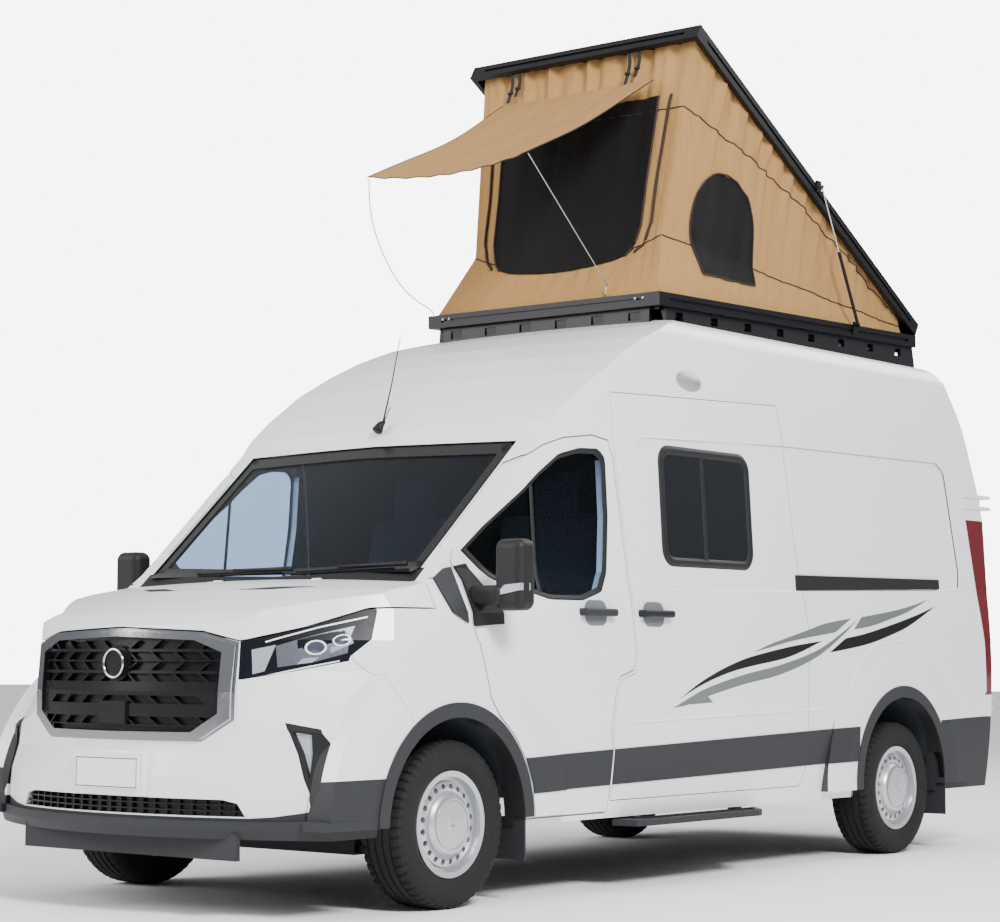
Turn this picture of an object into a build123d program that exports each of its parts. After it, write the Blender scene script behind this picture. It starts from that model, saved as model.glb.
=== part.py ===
from build123d import *

import os
from math import atan2, cos, degrees, hypot, radians, sin

# Camper van: a long, high-roofed panel van with a hard-lidded wedge tent on its roof.
# Millimetres. The van faces -Y, its left side is +X, and the ground is Z = 0.
# The origin is on the ground, half way along and half way across.

# ---------------------------------------------------------------- driving sizes
LENGTH = 5940.0
HALF_LENGTH = LENGTH / 2
FRONT_OVERHANG = 1020.0
WHEELBASE = 3760.0
FRONT_AXLE_Y = FRONT_OVERHANG - HALF_LENGTH
REAR_AXLE_Y = FRONT_AXLE_Y + WHEELBASE
BODY_HALF_WIDTH = 1031.0
ROOF_TOP_Z = 2752.0

# Panels
SKIN = 14.0  # outer layer of a door, which laps over the step in its opening
WALL = 50.0  # side wall, roof and doors with their lining
DOOR_STEP = 20.0  # lap of a door over its opening
DOOR_GAP = 7.0  # shut line between a door and its opening
SILL_Z = 322.0
FLOOR_Z = 560.0
FLOOR_THICKNESS = 60.0
SILL_INNER_X = 930.0
DOOR_INNER_X = 830.0  # the cab doors reach in this far at the screen pillar
GLASS_RECESS = 6.0  # depth of the glass below the skin
SEAT_GAP = 0.3  # clearance between pieces that rest on each other

# Wheels: 235/65 R16 on a steel wheel
TYRE_RADIUS = 350.0
TYRE_WIDTH = 236.0
RIM_RADIUS = 203.0
RIM_LIP_RADIUS = 221.0
HALF_TRACK = 872.0
WHEEL_Z = TYRE_RADIUS
VENT_COUNT = 20
VENT_CIRCLE_RADIUS = 163.0
VENT_HOLE_RADIUS = 12.0
KINGPIN_X = 800.0
STRUT_TOWER_X = 685.0
RAIL_X = 462.0  # centre line of a chassis rail

# Roof tent, measured along its own floor, which leans back with the roof
TENT_FRONT_Y = -80.0
TENT_LENGTH = 2590.0
TENT_HALF_WIDTH = 740.0
TENT_BASE_Z = 2768.0  # underside of the base tray at its front end
TENT_LEAN = 1.2  # degrees that tray and rack rise toward the rear
TENT_BASE_HEIGHT = 68.0
LID_OPEN = 31.0  # degrees between the lid and the tray
LID_HEIGHT = 78.0
CANVAS = 6.0


UPWARD = (Align.CENTER, Align.CENTER, Align.MIN)


# ---------------------------------------------------------------- helpers
def joined(shape):
    """One shape from whatever a cut or a fuse gives back."""
    solids = [solid for solid in shape.solids() if solid.volume > 1.0]
    return solids[0] if len(solids) == 1 else Compound(solids)


def largest(shape):
    """The biggest solid of a shape, without the slivers a cut leaves beside it."""
    return max(shape.solids(), key=lambda solid: solid.volume)


def fuse_cut(shape, tools):
    """A shape with several others cut from it."""
    for tool in tools:
        shape = shape - tool
    return joined(shape)


def both_sides(shape):
    """The shape and its mirror image across the van's centre line."""
    left = joined(shape)
    return [left, mirror(left, Plane.YZ)]


def fuse_all(shapes):
    first, *rest = shapes
    return first.fuse(*rest) if rest else first


def prism_x(points, x_from, x_to):
    """A side-view outline of (y, z) points, run across the van."""
    face = make_face(Plane.YZ * Polyline(*points, close=True))
    return Pos(x_from, 0, 0) * extrude(face, x_to - x_from, dir=(1, 0, 0))


def prism_y(points, y_from, y_to):
    """A front-view outline of (x, z) points, run along the van."""
    face = make_face(Plane.XZ * Polyline(*points, close=True))
    return Pos(0, y_from, 0) * extrude(face, y_to - y_from, dir=(0, 1, 0))


def prism_z(points, z_from, z_to):
    """A plan outline of (x, y) points, run upward."""
    face = make_face(Polyline(*points, close=True))
    return Pos(0, 0, z_from) * extrude(face, z_to - z_from, dir=(0, 0, 1))


def block(x_from, x_to, y_from, y_to, z_from, z_to):
    """A plain box between its six faces."""
    size = (x_to - x_from, y_to - y_from, z_to - z_from)
    centre = ((x_from + x_to) / 2, (y_from + y_to) / 2, (z_from + z_to) / 2)
    return Pos(*centre) * Box(*size)


def inset_outline(points, distance):
    """A closed outline moved inward by a distance, corner by corner."""
    count = len(points)
    area = sum(
        points[i][0] * points[(i + 1) % count][1] - points[(i + 1) % count][0] * points[i][1]
        for i in range(count)
    )
    turn = 1 if area > 0 else -1
    moved = []
    for i in range(count):
        before, here, after = points[i - 1], points[i], points[(i + 1) % count]
        edges = []
        for start, end in ((before, here), (here, after)):
            run = hypot(end[0] - start[0], end[1] - start[1])
            edges.append(((end[0] - start[0]) / run, (end[1] - start[1]) / run))
        (ax, ay), (bx, by) = edges
        nx, ny = -(ay + by) * turn, (ax + bx) * turn
        scale = distance * 2 / (nx * nx + ny * ny)
        moved.append((here[0] + nx * scale, here[1] + ny * scale))
    return moved


def rounded_block(x_from, x_to, y_from, y_to, z_from, z_to, radius):
    """A box with every edge rounded."""
    box = block(x_from, x_to, y_from, y_to, z_from, z_to)
    return fillet(box.edges(), radius)


def proud_of(volume, points, height, x_from=500.0):
    """A strip that lies on the left side of a volume and stands proud of it by a height."""
    return (prism_x(points, x_from, 1200) & (Pos(height, 0, 0) * volume)) - volume


# ---------------------------------------------------------------- body outline
# The body is one section run along the van, cut by the windscreen, roof and rear lines,
# by the rounded nose, and by the cab sides, which draw in toward the windscreen.
NOSE_AXIS_Y = FRONT_AXLE_Y + 750.0
BONNET_AXIS_Y = FRONT_AXLE_Y + 1700.0
SCREEN_AXIS_Y = FRONT_AXLE_Y + 7550.0
REAR_AXIS_Y = FRONT_AXLE_Y - 2200.0
BELT_Z = 1400.0
GUTTER_Z = 2330.0


def side_section(inset):
    """Front view of the load space: sill, bulging side, leaning upper side, arched roof."""
    half = BODY_HALF_WIDTH - inset
    top = ROOF_TOP_Z - inset
    shoulder_z = ROOF_TOP_Z - 60 - inset
    sill_x, high_x, shoulder_x = half - 56, half - 122, half - 261
    edges = [
        Line((-sill_x, SILL_Z + inset), (sill_x, SILL_Z + inset)),
        ThreePointArc((-shoulder_x, shoulder_z), (0, top), (shoulder_x, shoulder_z)),
    ]
    for side in (1, -1):
        sill = (side * sill_x, SILL_Z + inset)
        belt = (side * (half - 24), BELT_Z)
        gutter = (side * (half - 80), GUTTER_Z)
        high = (side * high_x, 2560 - inset * 0.4)
        bend = (side * (half - 165), 2652 - inset * 0.8)
        edges += [
            ThreePointArc(sill, (side * half, 960), belt),
            Line(belt, gutter),
            Line(gutter, high),
            ThreePointArc(high, bend, (side * shoulder_x, shoulder_z)),
        ]
    return make_face(Plane.XZ * Wire(edges))


def cab_side_cutter(inset):
    """What lies outside the left cab side: it draws in above the belt and toward the front."""
    # z of the section, then its half width at the front, middle and rear of the cab side
    sections = [
        (960.0, 1033.0, 1037.0, 1042.0),
        (1230.0, 925.0, 1003.0, 1036.0),
        (1420.0, 770.0, 915.0, 1009.0),
        (2420.0, 600.0, 815.0, 948.0),
        (2800.0, 570.0, 780.0, 900.0),
    ]
    faces = []
    for z, front_x, middle_x, rear_x in sections:
        y_front, y_middle, y_rear = (FRONT_AXLE_Y + y for y in (-900.0, 150.0, 1150.0))
        outline = [
            ThreePointArc(
                (front_x - inset, y_front), (middle_x - inset, y_middle), (rear_x - inset, y_rear)
            ),
            Line((rear_x - inset, y_rear), (1500.0, y_rear)),
            Line((1500.0, y_rear), (1500.0, y_front)),
            Line((1500.0, y_front), (front_x - inset, y_front)),
        ]
        faces.append(Pos(0, 0, z) * make_face(Wire(outline)))
    return loft(faces, ruled=True)


def lamp_side_cutter(inset):
    """What lies outside the left front corner, which sweeps back from the grille past the lamp."""
    # z of the section, then (x, y) of its inner end, middle and outer end, y from the front axle
    sections = [
        (720.0, (602.0, -905.0), (850.0, -792.0), (1060.0, -640.0)),
        (985.0, (602.0, -858.0), (790.0, -672.0), (1060.0, -330.0)),
        (1110.0, (602.0, -848.0), (790.0, -655.0), (1060.0, -310.0)),
        (1340.0, (602.0, -660.0), (790.0, -500.0), (1060.0, -190.0)),
    ]
    faces = []
    for z, inner_end, middle, outer_end in sections:
        (ax, ay), (bx, by), (cx, cy) = (
            (x - inset * 0.5, FRONT_AXLE_Y + y + inset * 0.8) for x, y in (inner_end, middle, outer_end)
        )
        outline = [
            ThreePointArc((ax, ay), (bx, by), (cx, cy)),
            Line((cx, cy), (1400.0, cy)),
            Line((1400.0, cy), (1400.0, FRONT_AXLE_Y - 1200)),
            Line((1400.0, FRONT_AXLE_Y - 1200), (ax, FRONT_AXLE_Y - 1200)),
            Line((ax, FRONT_AXLE_Y - 1200), (ax, ay)),
        ]
        faces.append(Pos(0, 0, z) * make_face(Wire(outline)))
    return loft(faces, ruled=True)


def turned(points, axis_y):
    """A side outline turned about an upright line, for a face curved in plan."""
    face = make_face(Plane.YZ * Polyline(*points, close=True))
    ring = revolve(face, Axis((0, axis_y, 0), (0, 0, 1)), 360)
    return ring.rotate(Axis((0, axis_y, 0), (0, 0, 1)), 180)


def nose_volume(inset):
    """Bumper, grille and bonnet: an upright face curved in plan under a bonnet curved in plan."""
    front = FRONT_AXLE_Y
    face = [
        (NOSE_AXIS_Y, 300.0),
        (front - 1000 + inset, 300.0),
        (front - 1020 + inset, 360.0),
        (front - 1016 + inset, 560.0),
        (front - 994 + inset, 660.0),
        (front - 992 + inset, 900.0),
        (front - 970 + inset, 1160.0),
        (front - 930 + inset, 1420.0),
        (NOSE_AXIS_Y, 1420.0),
    ]
    bonnet = [
        (BONNET_AXIS_Y, 200.0),
        (front - 1200, 200.0),
        (front - 1100, 1090.0 - inset),
        (front - 968, 1168.0 - inset),
        (front - 860, 1218.0 - inset),
        (front - 700, 1270.0 - inset),
        (front - 500, 1322.0 - inset),
        (front - 300, 1357.0 - inset),
        (front - 40, 1388.0 - inset),
        (front + 200, 1402.0 - inset),
        (BONNET_AXIS_Y, 1402.0 - inset),
    ]
    keep = block(-1100, 1100, front - 1100, front + 120, 200, 1500)
    return turned(face, NOSE_AXIS_Y) & turned(bonnet, BONNET_AXIS_Y) & keep


def cab_volume(inset):
    """Everything behind the windscreen line and under the roof line, up to the rear doors."""
    front = FRONT_AXLE_Y
    roof = [
        (front - 240 + inset, 1258.0 - inset * 0.6),
        (front + 612 + inset, 2024.0 - inset * 0.6),
        (front + 672 + inset, 2098.0 - inset * 0.7),
        (front + 800 + inset * 0.6, 2200.0 - inset * 0.8),
        (front + 1030, 2352.0 - inset),
        (front + 1240, 2468.0 - inset),
        (front + 1440, 2560.0 - inset),
        (front + 1680, 2648.0 - inset),
        (front + 1960, 2718.0 - inset),
        (front + 2350, ROOF_TOP_Z + 10 - inset),
        (front + 7000, ROOF_TOP_Z + 10 - inset),
    ]
    screen = turned(
        [
            (SCREEN_AXIS_Y, 200.0), (front - 240 + inset, 200.0),
            *roof, (SCREEN_AXIS_Y, ROOF_TOP_Z + 10 - inset),
        ],
        SCREEN_AXIS_Y,
    )
    rear = [
        (REAR_AXIS_Y, 200.0),
        (front + 4850 - inset, 200.0),
        (front + 4850 - inset, 1820.0),
        (front + 4806 - inset, 2000.0),
        (front + 4650 - inset, 2410.0),
        (front + 4540 - inset, 2610.0 - inset * 0.5),
        (front + 4440 - inset, 2705.0 - inset),
        (front + 4280 - inset, ROOF_TOP_Z + 20 - inset),
        (REAR_AXIS_Y, ROOF_TOP_Z + 20 - inset),
    ]
    return screen & turned(rear, REAR_AXIS_Y)


def van_volume(inset):
    """The body's outside, or with an inset the face of its lining."""
    section = Pos(0, -LENGTH, 0) * extrude(side_section(inset), 2 * LENGTH, dir=(0, 1, 0))
    volume = section & cab_volume(inset)
    nose = section & nose_volume(inset)
    for cutter in both_sides(lamp_side_cutter(inset)):
        nose = nose - cutter
    volume = volume.fuse(nose)
    for cutter in both_sides(cab_side_cutter(inset)):
        volume = volume - cutter
    return volume


# ---------------------------------------------------------------- side view outlines
def at_front(points):
    """Side view points measured rearward from the front axle, moved into the van's frame."""
    return [(FRONT_AXLE_Y + y, z) for y, z in points]


ARCH_RADIUS = 442.0
ARCH_TRIM = 62.0
ARCH_FOOT_Z = 362.0
FRONT_ARCH = (FRONT_AXLE_Y - 30.0, 352.0)
REAR_ARCH = (REAR_AXLE_Y - 30.0, 392.0)
FLARE_X = 1039.0
TRIM_X = 1046.0
FLARE_FLAT = 600.0  # radius at which the flare starts to fade into the side
FLARE_END = 770.0


def arch_points(centre, radius, angles):
    """Points on a wheel arch, at angles measured up from the rear."""
    return [(centre[0] + radius * cos(radians(a)), centre[1] + radius * sin(radians(a))) for a in angles]


FRONT_DOOR = [
    *at_front([(180, 868)]),
    *arch_points(FRONT_ARCH, ARCH_RADIUS + ARCH_TRIM + 12, (58, 44, 30, 16, 2)),
    *at_front([
        (488, 345), (1085, 345), (1096, 400), (1099, 628), (1076, 723), (1106, 902), (1135, 955),
        (1245, 985), (1256, 1060), (1236, 1309), (1200, 1603), (1152, 1958), (1120, 2036),
        (1010, 2054), (819, 2030), (689, 1990), (568, 1933), (369, 1790), (183, 1626), (95, 1533),
        (68, 1450), (98, 1366), (92, 1185), (120, 1103),
    ]),
]
FRONT_DOOR_GLASS = at_front([
    (150, 1500), (291, 1607), (540, 1772), (640, 1850), (780, 1942), (916, 1976), (1040, 1980),
    (1082, 1940), (1080, 1680), (1052, 1430), (1000, 1345), (860, 1305), (640, 1305), (300, 1385),
])
SLIDING_DOOR = at_front([
    (1108, 398), (1108, 628), (1090, 723), (1118, 898), (1150, 948), (1258, 976), (1270, 1060),
    (1250, 1309), (1212, 1603), (1166, 1958), (1150, 2262), (2592, 2318), (2636, 2166),
    (2671, 1959), (2711, 1608), (2737, 1464), (2763, 1297), (2786, 1170), (2767, 771),
    (2791, 665), (2786, 501), (2731, 398),
])
SIDE_WINDOW = at_front([
    (1600, 1500), (2270, 1500), (2310, 1540), (2310, 1980), (2270, 2020), (1600, 2020), (1560, 1980),
    (1560, 1540),
])
SIDE_RECESS = at_front([
    (1344, 2036), (1406, 2069), (2651, 2114), (4264, 2132), (4346, 2078), (4444, 1526), (4430, 1439),
    (4225, 1416), (2703, 1380), (1664, 1359), (1461, 1431),
])
RECESS_DEPTH = 7.0
SIDE_BAND = at_front([(400, 612), (3262, 688), (3250, 510), (400, 458)])
BAND_HEIGHT = 5.0
SLIDE_RAIL = at_front([(2697, 1383), (4204, 1424), (4204, 1477), (2697, 1461)])
RAIL_HEIGHT = 10.0
TAIL_LAMP = at_front([(4572, 1828), (4700, 1132), (4710, 855), (4686, 838), (5000, 838), (5000, 1828)])
TAIL_LAMP_INNER_X = 870.0
REAR_BUMPER = at_front([(4150, 300), (4639, 300), (5000, 300), (5000, 708), (4715, 717), (4150, 705)])
MIRROR_BASE = at_front([
    (-62, 1372), (20, 1416), (150, 1440), (240, 1320), (290, 1240), (288, 1184), (91, 1172), (-27, 1230),
])
LAMP_REAR_EDGE = at_front([(-1100, 880), (-600, 880), (-544, 1046), (-471, 1114), (-424, 1224),
                           (-410, 1300), (-1100, 1300)])

# ---------------------------------------------------------------- front view outlines
BONNET_HALF = [(0, 1165), (430, 1147), (590, 1108), (750, 1164), (900, 1243), (978, 1248), (940, 1330),
               (893, 1392), (850, 1440)]
LAMP_LOWER_EDGE = [(597, 950), (740, 982), (905, 1030), (1090, 1050)]
LAMP_UPPER_EDGE = [(1090, 1240), (978, 1240), (900, 1235), (750, 1156), (594, 1102)]
LAMP_LEFT = LAMP_LOWER_EDGE + LAMP_UPPER_EDGE
LAMP_OPENING = LAMP_LOWER_EDGE + [(x, z + 5) for x, z in LAMP_UPPER_EDGE]  # up into the bonnet's gap
GRILLE_HALF = [(0, 1159), (430, 1141), (590, 1100), (586, 790), (450, 703), (0, 703)]
GRILLE_OPENING = [(0, 1124), (405, 1108), (528, 1060), (524, 815), (408, 740), (0, 738)]
SCREEN_HALF = [(0, 1392), (815, 1412), (815, 2005), (0, 2018)]
REAR_DOOR = [(5, 716), (862, 716), (862, 1820), (846, 2120), (800, 2480), (740, 2560), (5, 2590)]
FOG_BEZEL = [(775, 782), (905, 757), (948, 700), (950, 540), (915, 445), (893, 500), (800, 742)]
FOG_LAMP = [(815, 745), (880, 735), (890, 560), (858, 640)]
LOWER_INTAKE = [(0, 478), (560, 476), (622, 462), (655, 410), (0, 410)]
VALANCE_HALF = [(0, 405), (665, 405), (760, 412), (905, 436), (930, 552), (1100, 562), (1100, 200), (0, 200)]
LIP_HALF = [(0, 392), (700, 392), (930, 400), (1100, 400), (1100, 200), (0, 200)]


def mirrored_outline(half):
    """A whole front view outline from its right half, which starts and ends on the centre line."""
    return half + [(-x, z) for x, z in reversed(half) if x != 0]


# ---------------------------------------------------------------- hollow body and its cuts
front = FRONT_AXLE_Y
outer = van_volume(0.0)
skin = van_volume(SKIN)
inner = van_volume(WALL)
FIREWALL_Y = front - 60.0


def flare(centre):
    """The bulge over the left wheel: flat round the arch, then fading into the side."""
    profile = [(900, ARCH_RADIUS - 30), (FLARE_X, ARCH_RADIUS - 30), (FLARE_X, FLARE_FLAT), (1024, FLARE_END),
               (900, FLARE_END)]
    ring = revolve(make_face(Polyline(*profile, close=True)), Axis.X, 360)
    above = block(800, 1100, centre[0] - 900, centre[0] + 900, ARCH_FOOT_Z, 1400)
    return (Pos(0, *centre) * ring) & above


for centre in (FRONT_ARCH, REAR_ARCH):
    for bulge in both_sides(flare(centre)):
        outer = outer.fuse(bulge)
recess = prism_x(SIDE_RECESS, 500, 1200) - (Pos(-RECESS_DEPTH, 0, 0) * outer)
for hollow in both_sides(recess):
    outer = outer - hollow

cabin = inner & block(-1200, 1200, FIREWALL_Y, 3000, FLOOR_Z - FLOOR_THICKNESS, 3000)
engine_bay = inner & block(-1200, 1200, front - 930, FIREWALL_Y, 300, 1500)
under = block(-SILL_INNER_X, SILL_INNER_X, front - 560, HALF_LENGTH, 300, FLOOR_Z - FLOOR_THICKNESS)
shell = outer - cabin - engine_bay - under
layer = outer - inner
skin_layer = outer - skin
lining = skin - inner


def wheel_housing(centre, radius, x_from):
    """The round space over a wheel, open to the outside of the left wall."""
    tube = Pos(x_from, *centre) * Rot(0, 90, 0) * Cylinder(radius, 1100 - x_from, align=UPWARD)
    return tube.fuse(block(x_from, 1100, centre[0] - radius, centre[0] + radius, 200, centre[1]))


HOUSING_WALL = 6.0
FRONT_HOUSING_X = 520.0
REAR_HOUSING_X = 690.0
housings = []
housing_shells = []
for centre, x_from in ((FRONT_ARCH, FRONT_HOUSING_X), (REAR_ARCH, REAR_HOUSING_X)):
    space = wheel_housing(centre, ARCH_RADIUS, x_from)
    wrap = wheel_housing(centre, ARCH_RADIUS + HOUSING_WALL, x_from - HOUSING_WALL)
    housings += both_sides(space)
    housing_shells += both_sides((wrap - space) & inner)
for space in housings:
    shell = shell - space

parts = {}

# ---------------------------------------------------------------- doors
door_prism = prism_x(inset_outline(FRONT_DOOR, DOOR_GAP), DOOR_INNER_X, 1200)
door_core = prism_x(inset_outline(FRONT_DOOR, DOOR_STEP + 2 * DOOR_GAP), DOOR_INNER_X, 1200)
door_opening = prism_x(FRONT_DOOR, DOOR_INNER_X - DOOR_GAP, 1200) & skin_layer
door_opening = door_opening.fuse(
    prism_x(inset_outline(FRONT_DOOR, DOOR_STEP), DOOR_INNER_X - DOOR_GAP, 1200) & lining
)
glass_cut = prism_x(FRONT_DOOR_GLASS, DOOR_INNER_X - DOOR_GAP, 1200)
front_door = ((skin_layer & door_prism).fuse(lining & door_core)) - glass_cut
glass_layer = van_volume(GLASS_RECESS) - skin
door_glass = glass_layer & prism_x(inset_outline(FRONT_DOOR_GLASS, SEAT_GAP), DOOR_INNER_X, 1200)
for opening in both_sides(door_opening):
    shell = shell - opening

slide_prism = prism_x(inset_outline(SLIDING_DOOR, DOOR_GAP / 2), 500, 1200)
window_cut = prism_x(SIDE_WINDOW, 500, 1200)
sliding_door = (layer & slide_prism) - window_cut
side_window = glass_layer & prism_x(inset_outline(SIDE_WINDOW, SEAT_GAP), 500, 1200)
shell = shell - prism_x(SLIDING_DOOR, 500, 1200)

rear_from = front + 4200
rear_opening = prism_y(mirrored_outline([(0, 716), *REAR_DOOR[1:-1], (0, 2590)]), rear_from, 3200)
rear_prism = prism_y(inset_outline(REAR_DOOR, 4.0), rear_from, 3200)
rear_core = prism_y(inset_outline(REAR_DOOR, DOOR_STEP), rear_from, 3200)
rear_door = (skin_layer & rear_prism).fuse(lining & rear_core)
shell = shell - rear_opening

# ---------------------------------------------------------------- nose panels
nose_from = front - 1100
bonnet_whole = mirrored_outline([*BONNET_HALF, (0, 1480)])
BONNET_REAR_Y = front - 116.0
BONNET_FRAME = 45.0  # the inner frame stops this far inside the bonnet's edge
bonnet = (skin_layer & prism_y(bonnet_whole, nose_from, BONNET_REAR_Y)).fuse(
    lining & prism_y(inset_outline(bonnet_whole, BONNET_FRAME), nose_from, BONNET_REAR_Y - BONNET_FRAME)
)
shell = shell - prism_y(inset_outline(bonnet_whole, -DOOR_GAP), nose_from, BONNET_REAR_Y + DOOR_GAP)

shell = shell - prism_y(mirrored_outline(SCREEN_HALF), front - 140, front + 760)
parts["windscreen"] = glass_layer & prism_y(
    inset_outline(mirrored_outline(SCREEN_HALF), SEAT_GAP), front - 140, front + 760
)

lamp_limit = prism_x(LAMP_REAR_EDGE, 500, 1200)
lamp = layer & (prism_y(inset_outline(LAMP_LEFT, SEAT_GAP), nose_from, front - 300) & lamp_limit)
lamp_opening = prism_y(LAMP_OPENING, nose_from, front - 300)
lamp_opening = lamp_opening & prism_x(inset_outline(LAMP_REAR_EDGE, -SEAT_GAP), 500, 1200)
for cut in both_sides(lamp_opening):
    shell = shell - cut
parts["headlamps"] = Compound(both_sides(lamp))

# The nose alone, so that its thin layers are cut from a small shape
nose_block = outer & block(-1200, 1200, nose_from - 60, front - 560, 200, 1300)
nose_core = inner & block(-1200, 1200, nose_from - 60, front - 560, 200, 1300)


def nose_behind(depth):
    """The nose moved rearward, so that what is kept of a panel lies this deep behind its face."""
    return Pos(0, depth, 0) * nose_block


surround = layer & prism_y(inset_outline(mirrored_outline(GRILLE_HALF), SEAT_GAP), nose_from, front - 600)
opening_prism = prism_y(mirrored_outline(GRILLE_OPENING), nose_from - 60, front - 600)
SURROUND_PROUD = 14.0
surround = surround.fuse(
    nose_behind(-SURROUND_PROUD)
    & prism_y(inset_outline(mirrored_outline(GRILLE_HALF), 10.0), nose_from, front - 840)
) - opening_prism - inner
parts["grille_surround"] = surround
shell = shell - prism_y(mirrored_outline(GRILLE_HALF), nose_from, front - 600)

# Grille: a back plate, four main bars with thin bars between them, and rows of chevrons
BAR_Z = (1067.0, 979.0, 890.0, 805.0)
BAR_HEIGHT = 12.0
THIN_BAR_HEIGHT = 5.0
CHEVRON_PITCH = 120.0
CHEVRON_FIRST_X = 48.0
CHEVRON_REACH = 52.0
CHEVRON_RISE = 40.0
CHEVRON_WIDTH = 11.0
inside = mirrored_outline(GRILLE_OPENING)
strokes = []
for bar_z in BAR_Z:
    strokes.append([(-560, bar_z - BAR_HEIGHT / 2), (560, bar_z - BAR_HEIGHT / 2),
                    (560, bar_z + BAR_HEIGHT / 2), (-560, bar_z + BAR_HEIGHT / 2)])
    low = bar_z - 44.0
    strokes.append([(-560, low), (560, low), (560, low + THIN_BAR_HEIGHT), (-560, low + THIN_BAR_HEIGHT)])
    for column in range(4):
        x = CHEVRON_FIRST_X + column * CHEVRON_PITCH
        for side in (1, -1):
            for up in (1, -1):
                strokes.append([
                    (side * x, bar_z), (side * (x + CHEVRON_WIDTH), bar_z),
                    (side * (x + CHEVRON_REACH + CHEVRON_WIDTH), bar_z + up * CHEVRON_RISE),
                    (side * (x + CHEVRON_REACH), bar_z + up * CHEVRON_RISE),
                ])
bars = fuse_all([prism_y(stroke, nose_from, front - 700) for stroke in strokes])
GRILLE_BAR_DEPTH = 22.0
grille_prism = prism_y(inset_outline(inside, SEAT_GAP), nose_from, front - 700)
pockets = (grille_prism - bars) - nose_behind(4 + GRILLE_BAR_DEPTH)
grille = ((nose_behind(4) - nose_core) & grille_prism) - pockets
RADAR_PANEL = (-90.0, 70.0, 768.0, 861.0)
radar = block(RADAR_PANEL[0], RADAR_PANEL[1], front - 1001, front - 950, *RADAR_PANEL[2:])
BADGE_Z = 1014.0
BADGE_RADIUS = 62.0
boss = Pos(0, front - 970, BADGE_Z) * Rot(90, 0, 0) * Cylinder(BADGE_RADIUS + 12, 30)
badge_place = Pos(0, front - 985 - SEAT_GAP, BADGE_Z) * Rot(90, 0, 0)
badge = badge_place * Cylinder(BADGE_RADIUS, 12, align=UPWARD)
grille = largest(joined(grille).fuse(radar, boss))

cowl_prism = block(-835, 835, front - 130, front + 20, 1290, 1420)
cowl = shell & cowl_prism
shell = shell - cowl_prism

bumper_edge = at_front([(-1100, 1300), (-538, 1300), (-538, 1030), (-330, 800), (-330, 200), (-1100, 200)])
bumper_whole = largest(shell & prism_x(bumper_edge, -1200, 1200))
shell = shell - prism_x(inset_outline(bumper_edge, -3.0), -1200, 1200)

wing_edge = at_front([(-535, 1500), (-535, 1031), (-327, 801), (-327, 200), (180, 200), (180, 868),
                      (120, 1103), (92, 1185), (98, 1366), (68, 1450), (-60, 1450), (-60, 1500)])
wing_box = block(480, 1200, nose_from, front + 300, 200, 1500)
wing = shell & prism_x(wing_edge, 480, 1200) & wing_box
for cut in both_sides(prism_x(wing_edge, 480, 1200) & wing_box):
    shell = shell - cut

# ---------------------------------------------------------------- arch lips
trims = []
for centre in (FRONT_ARCH, REAR_ARCH):
    ring = Pos(0, *centre) * Rot(0, 90, 0) * Cylinder(ARCH_RADIUS + ARCH_TRIM, 2300)
    hole = Pos(0, *centre) * Rot(0, 90, 0) * Cylinder(ARCH_RADIUS, 2400)
    keep = block(985, TRIM_X, centre[0] - 600, centre[0] + 600, ARCH_FOOT_Z, 1200)
    trims.append((ring - hole) & keep)
trim_cuts = [side for trim in trims for side in both_sides(trim)]
doors_and_sides = [shell, wing, front_door]
trims = [fuse_cut(trim, doors_and_sides) for trim in trims]
for trim in trim_cuts:
    bumper_whole = bumper_whole - trim
parts["arch_trims"] = Compound([solid for trim in trims for solid in both_sides(trim)])
front_wing_pair = both_sides(wing)

# ---------------------------------------------------------------- front bumper
PLATE_HALF_WIDTH, PLATE_LOW_Z, PLATE_HIGH_Z = 183.0, 509.0, 634.0
PLATE_FACE_Y = front - 1024.0
intake = prism_y(mirrored_outline(LOWER_INTAKE), nose_from, front - 700)
intake_inset = prism_y(inset_outline(mirrored_outline(LOWER_INTAKE), SEAT_GAP), nose_from, front - 700)
bezel_prism = prism_y(inset_outline(FOG_BEZEL, SEAT_GAP), nose_from, front - 400)
fog_prism = prism_y(FOG_LAMP, nose_from, front - 400)
bezel = (bumper_whole & bezel_prism) - fog_prism
fog_piece = bumper_whole & prism_y(inset_outline(FOG_LAMP, SEAT_GAP), nose_from, front - 560)
fog_lamp = fog_piece & nose_behind(12)
bumper_upper = bumper_whole - prism_y(mirrored_outline(VALANCE_HALF), nose_from, front - 300) - intake
for cut in both_sides(prism_y(FOG_BEZEL, nose_from, front - 400)):
    bumper_upper = bumper_upper - cut
holder = block(-205, 205, PLATE_FACE_Y + SEAT_GAP, front - 985, 482, 652)
bumper_upper = bumper_upper.fuse(holder)
valance_outline = inset_outline(mirrored_outline(VALANCE_HALF), SEAT_GAP)
valance = bumper_whole & prism_y(valance_outline, nose_from, front - 300)
LIP_PROUD = 24.0
lip = (nose_behind(-LIP_PROUD) & prism_y(mirrored_outline(LIP_HALF), nose_from, front - 640)) - nose_core
lip = lip - block(-1200, 1200, front - 560, front, 200, 800)
valance = valance.fuse(lip) - intake
DEFLECTOR_Z = 238.0
valance = valance.fuse(block(-610, 640, front - 930, front - 905, DEFLECTOR_Z, 345))
valance = fuse_cut(valance, trim_cuts)
for cut in both_sides(prism_y(FOG_BEZEL, nose_from, front - 400)):
    valance = valance - cut
parts["front_bumper"] = bumper_upper
parts["bumper_valance"] = joined(valance)
parts["fog_bezels"] = Compound(both_sides(bezel))
parts["fog_lamps"] = Compound(both_sides(fog_lamp))
mesh = [
    prism_y([(-700, z), (700, z), (700, z + 6), (-700, z + 6)], nose_from, front - 800) for z in (428, 452)
]
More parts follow.
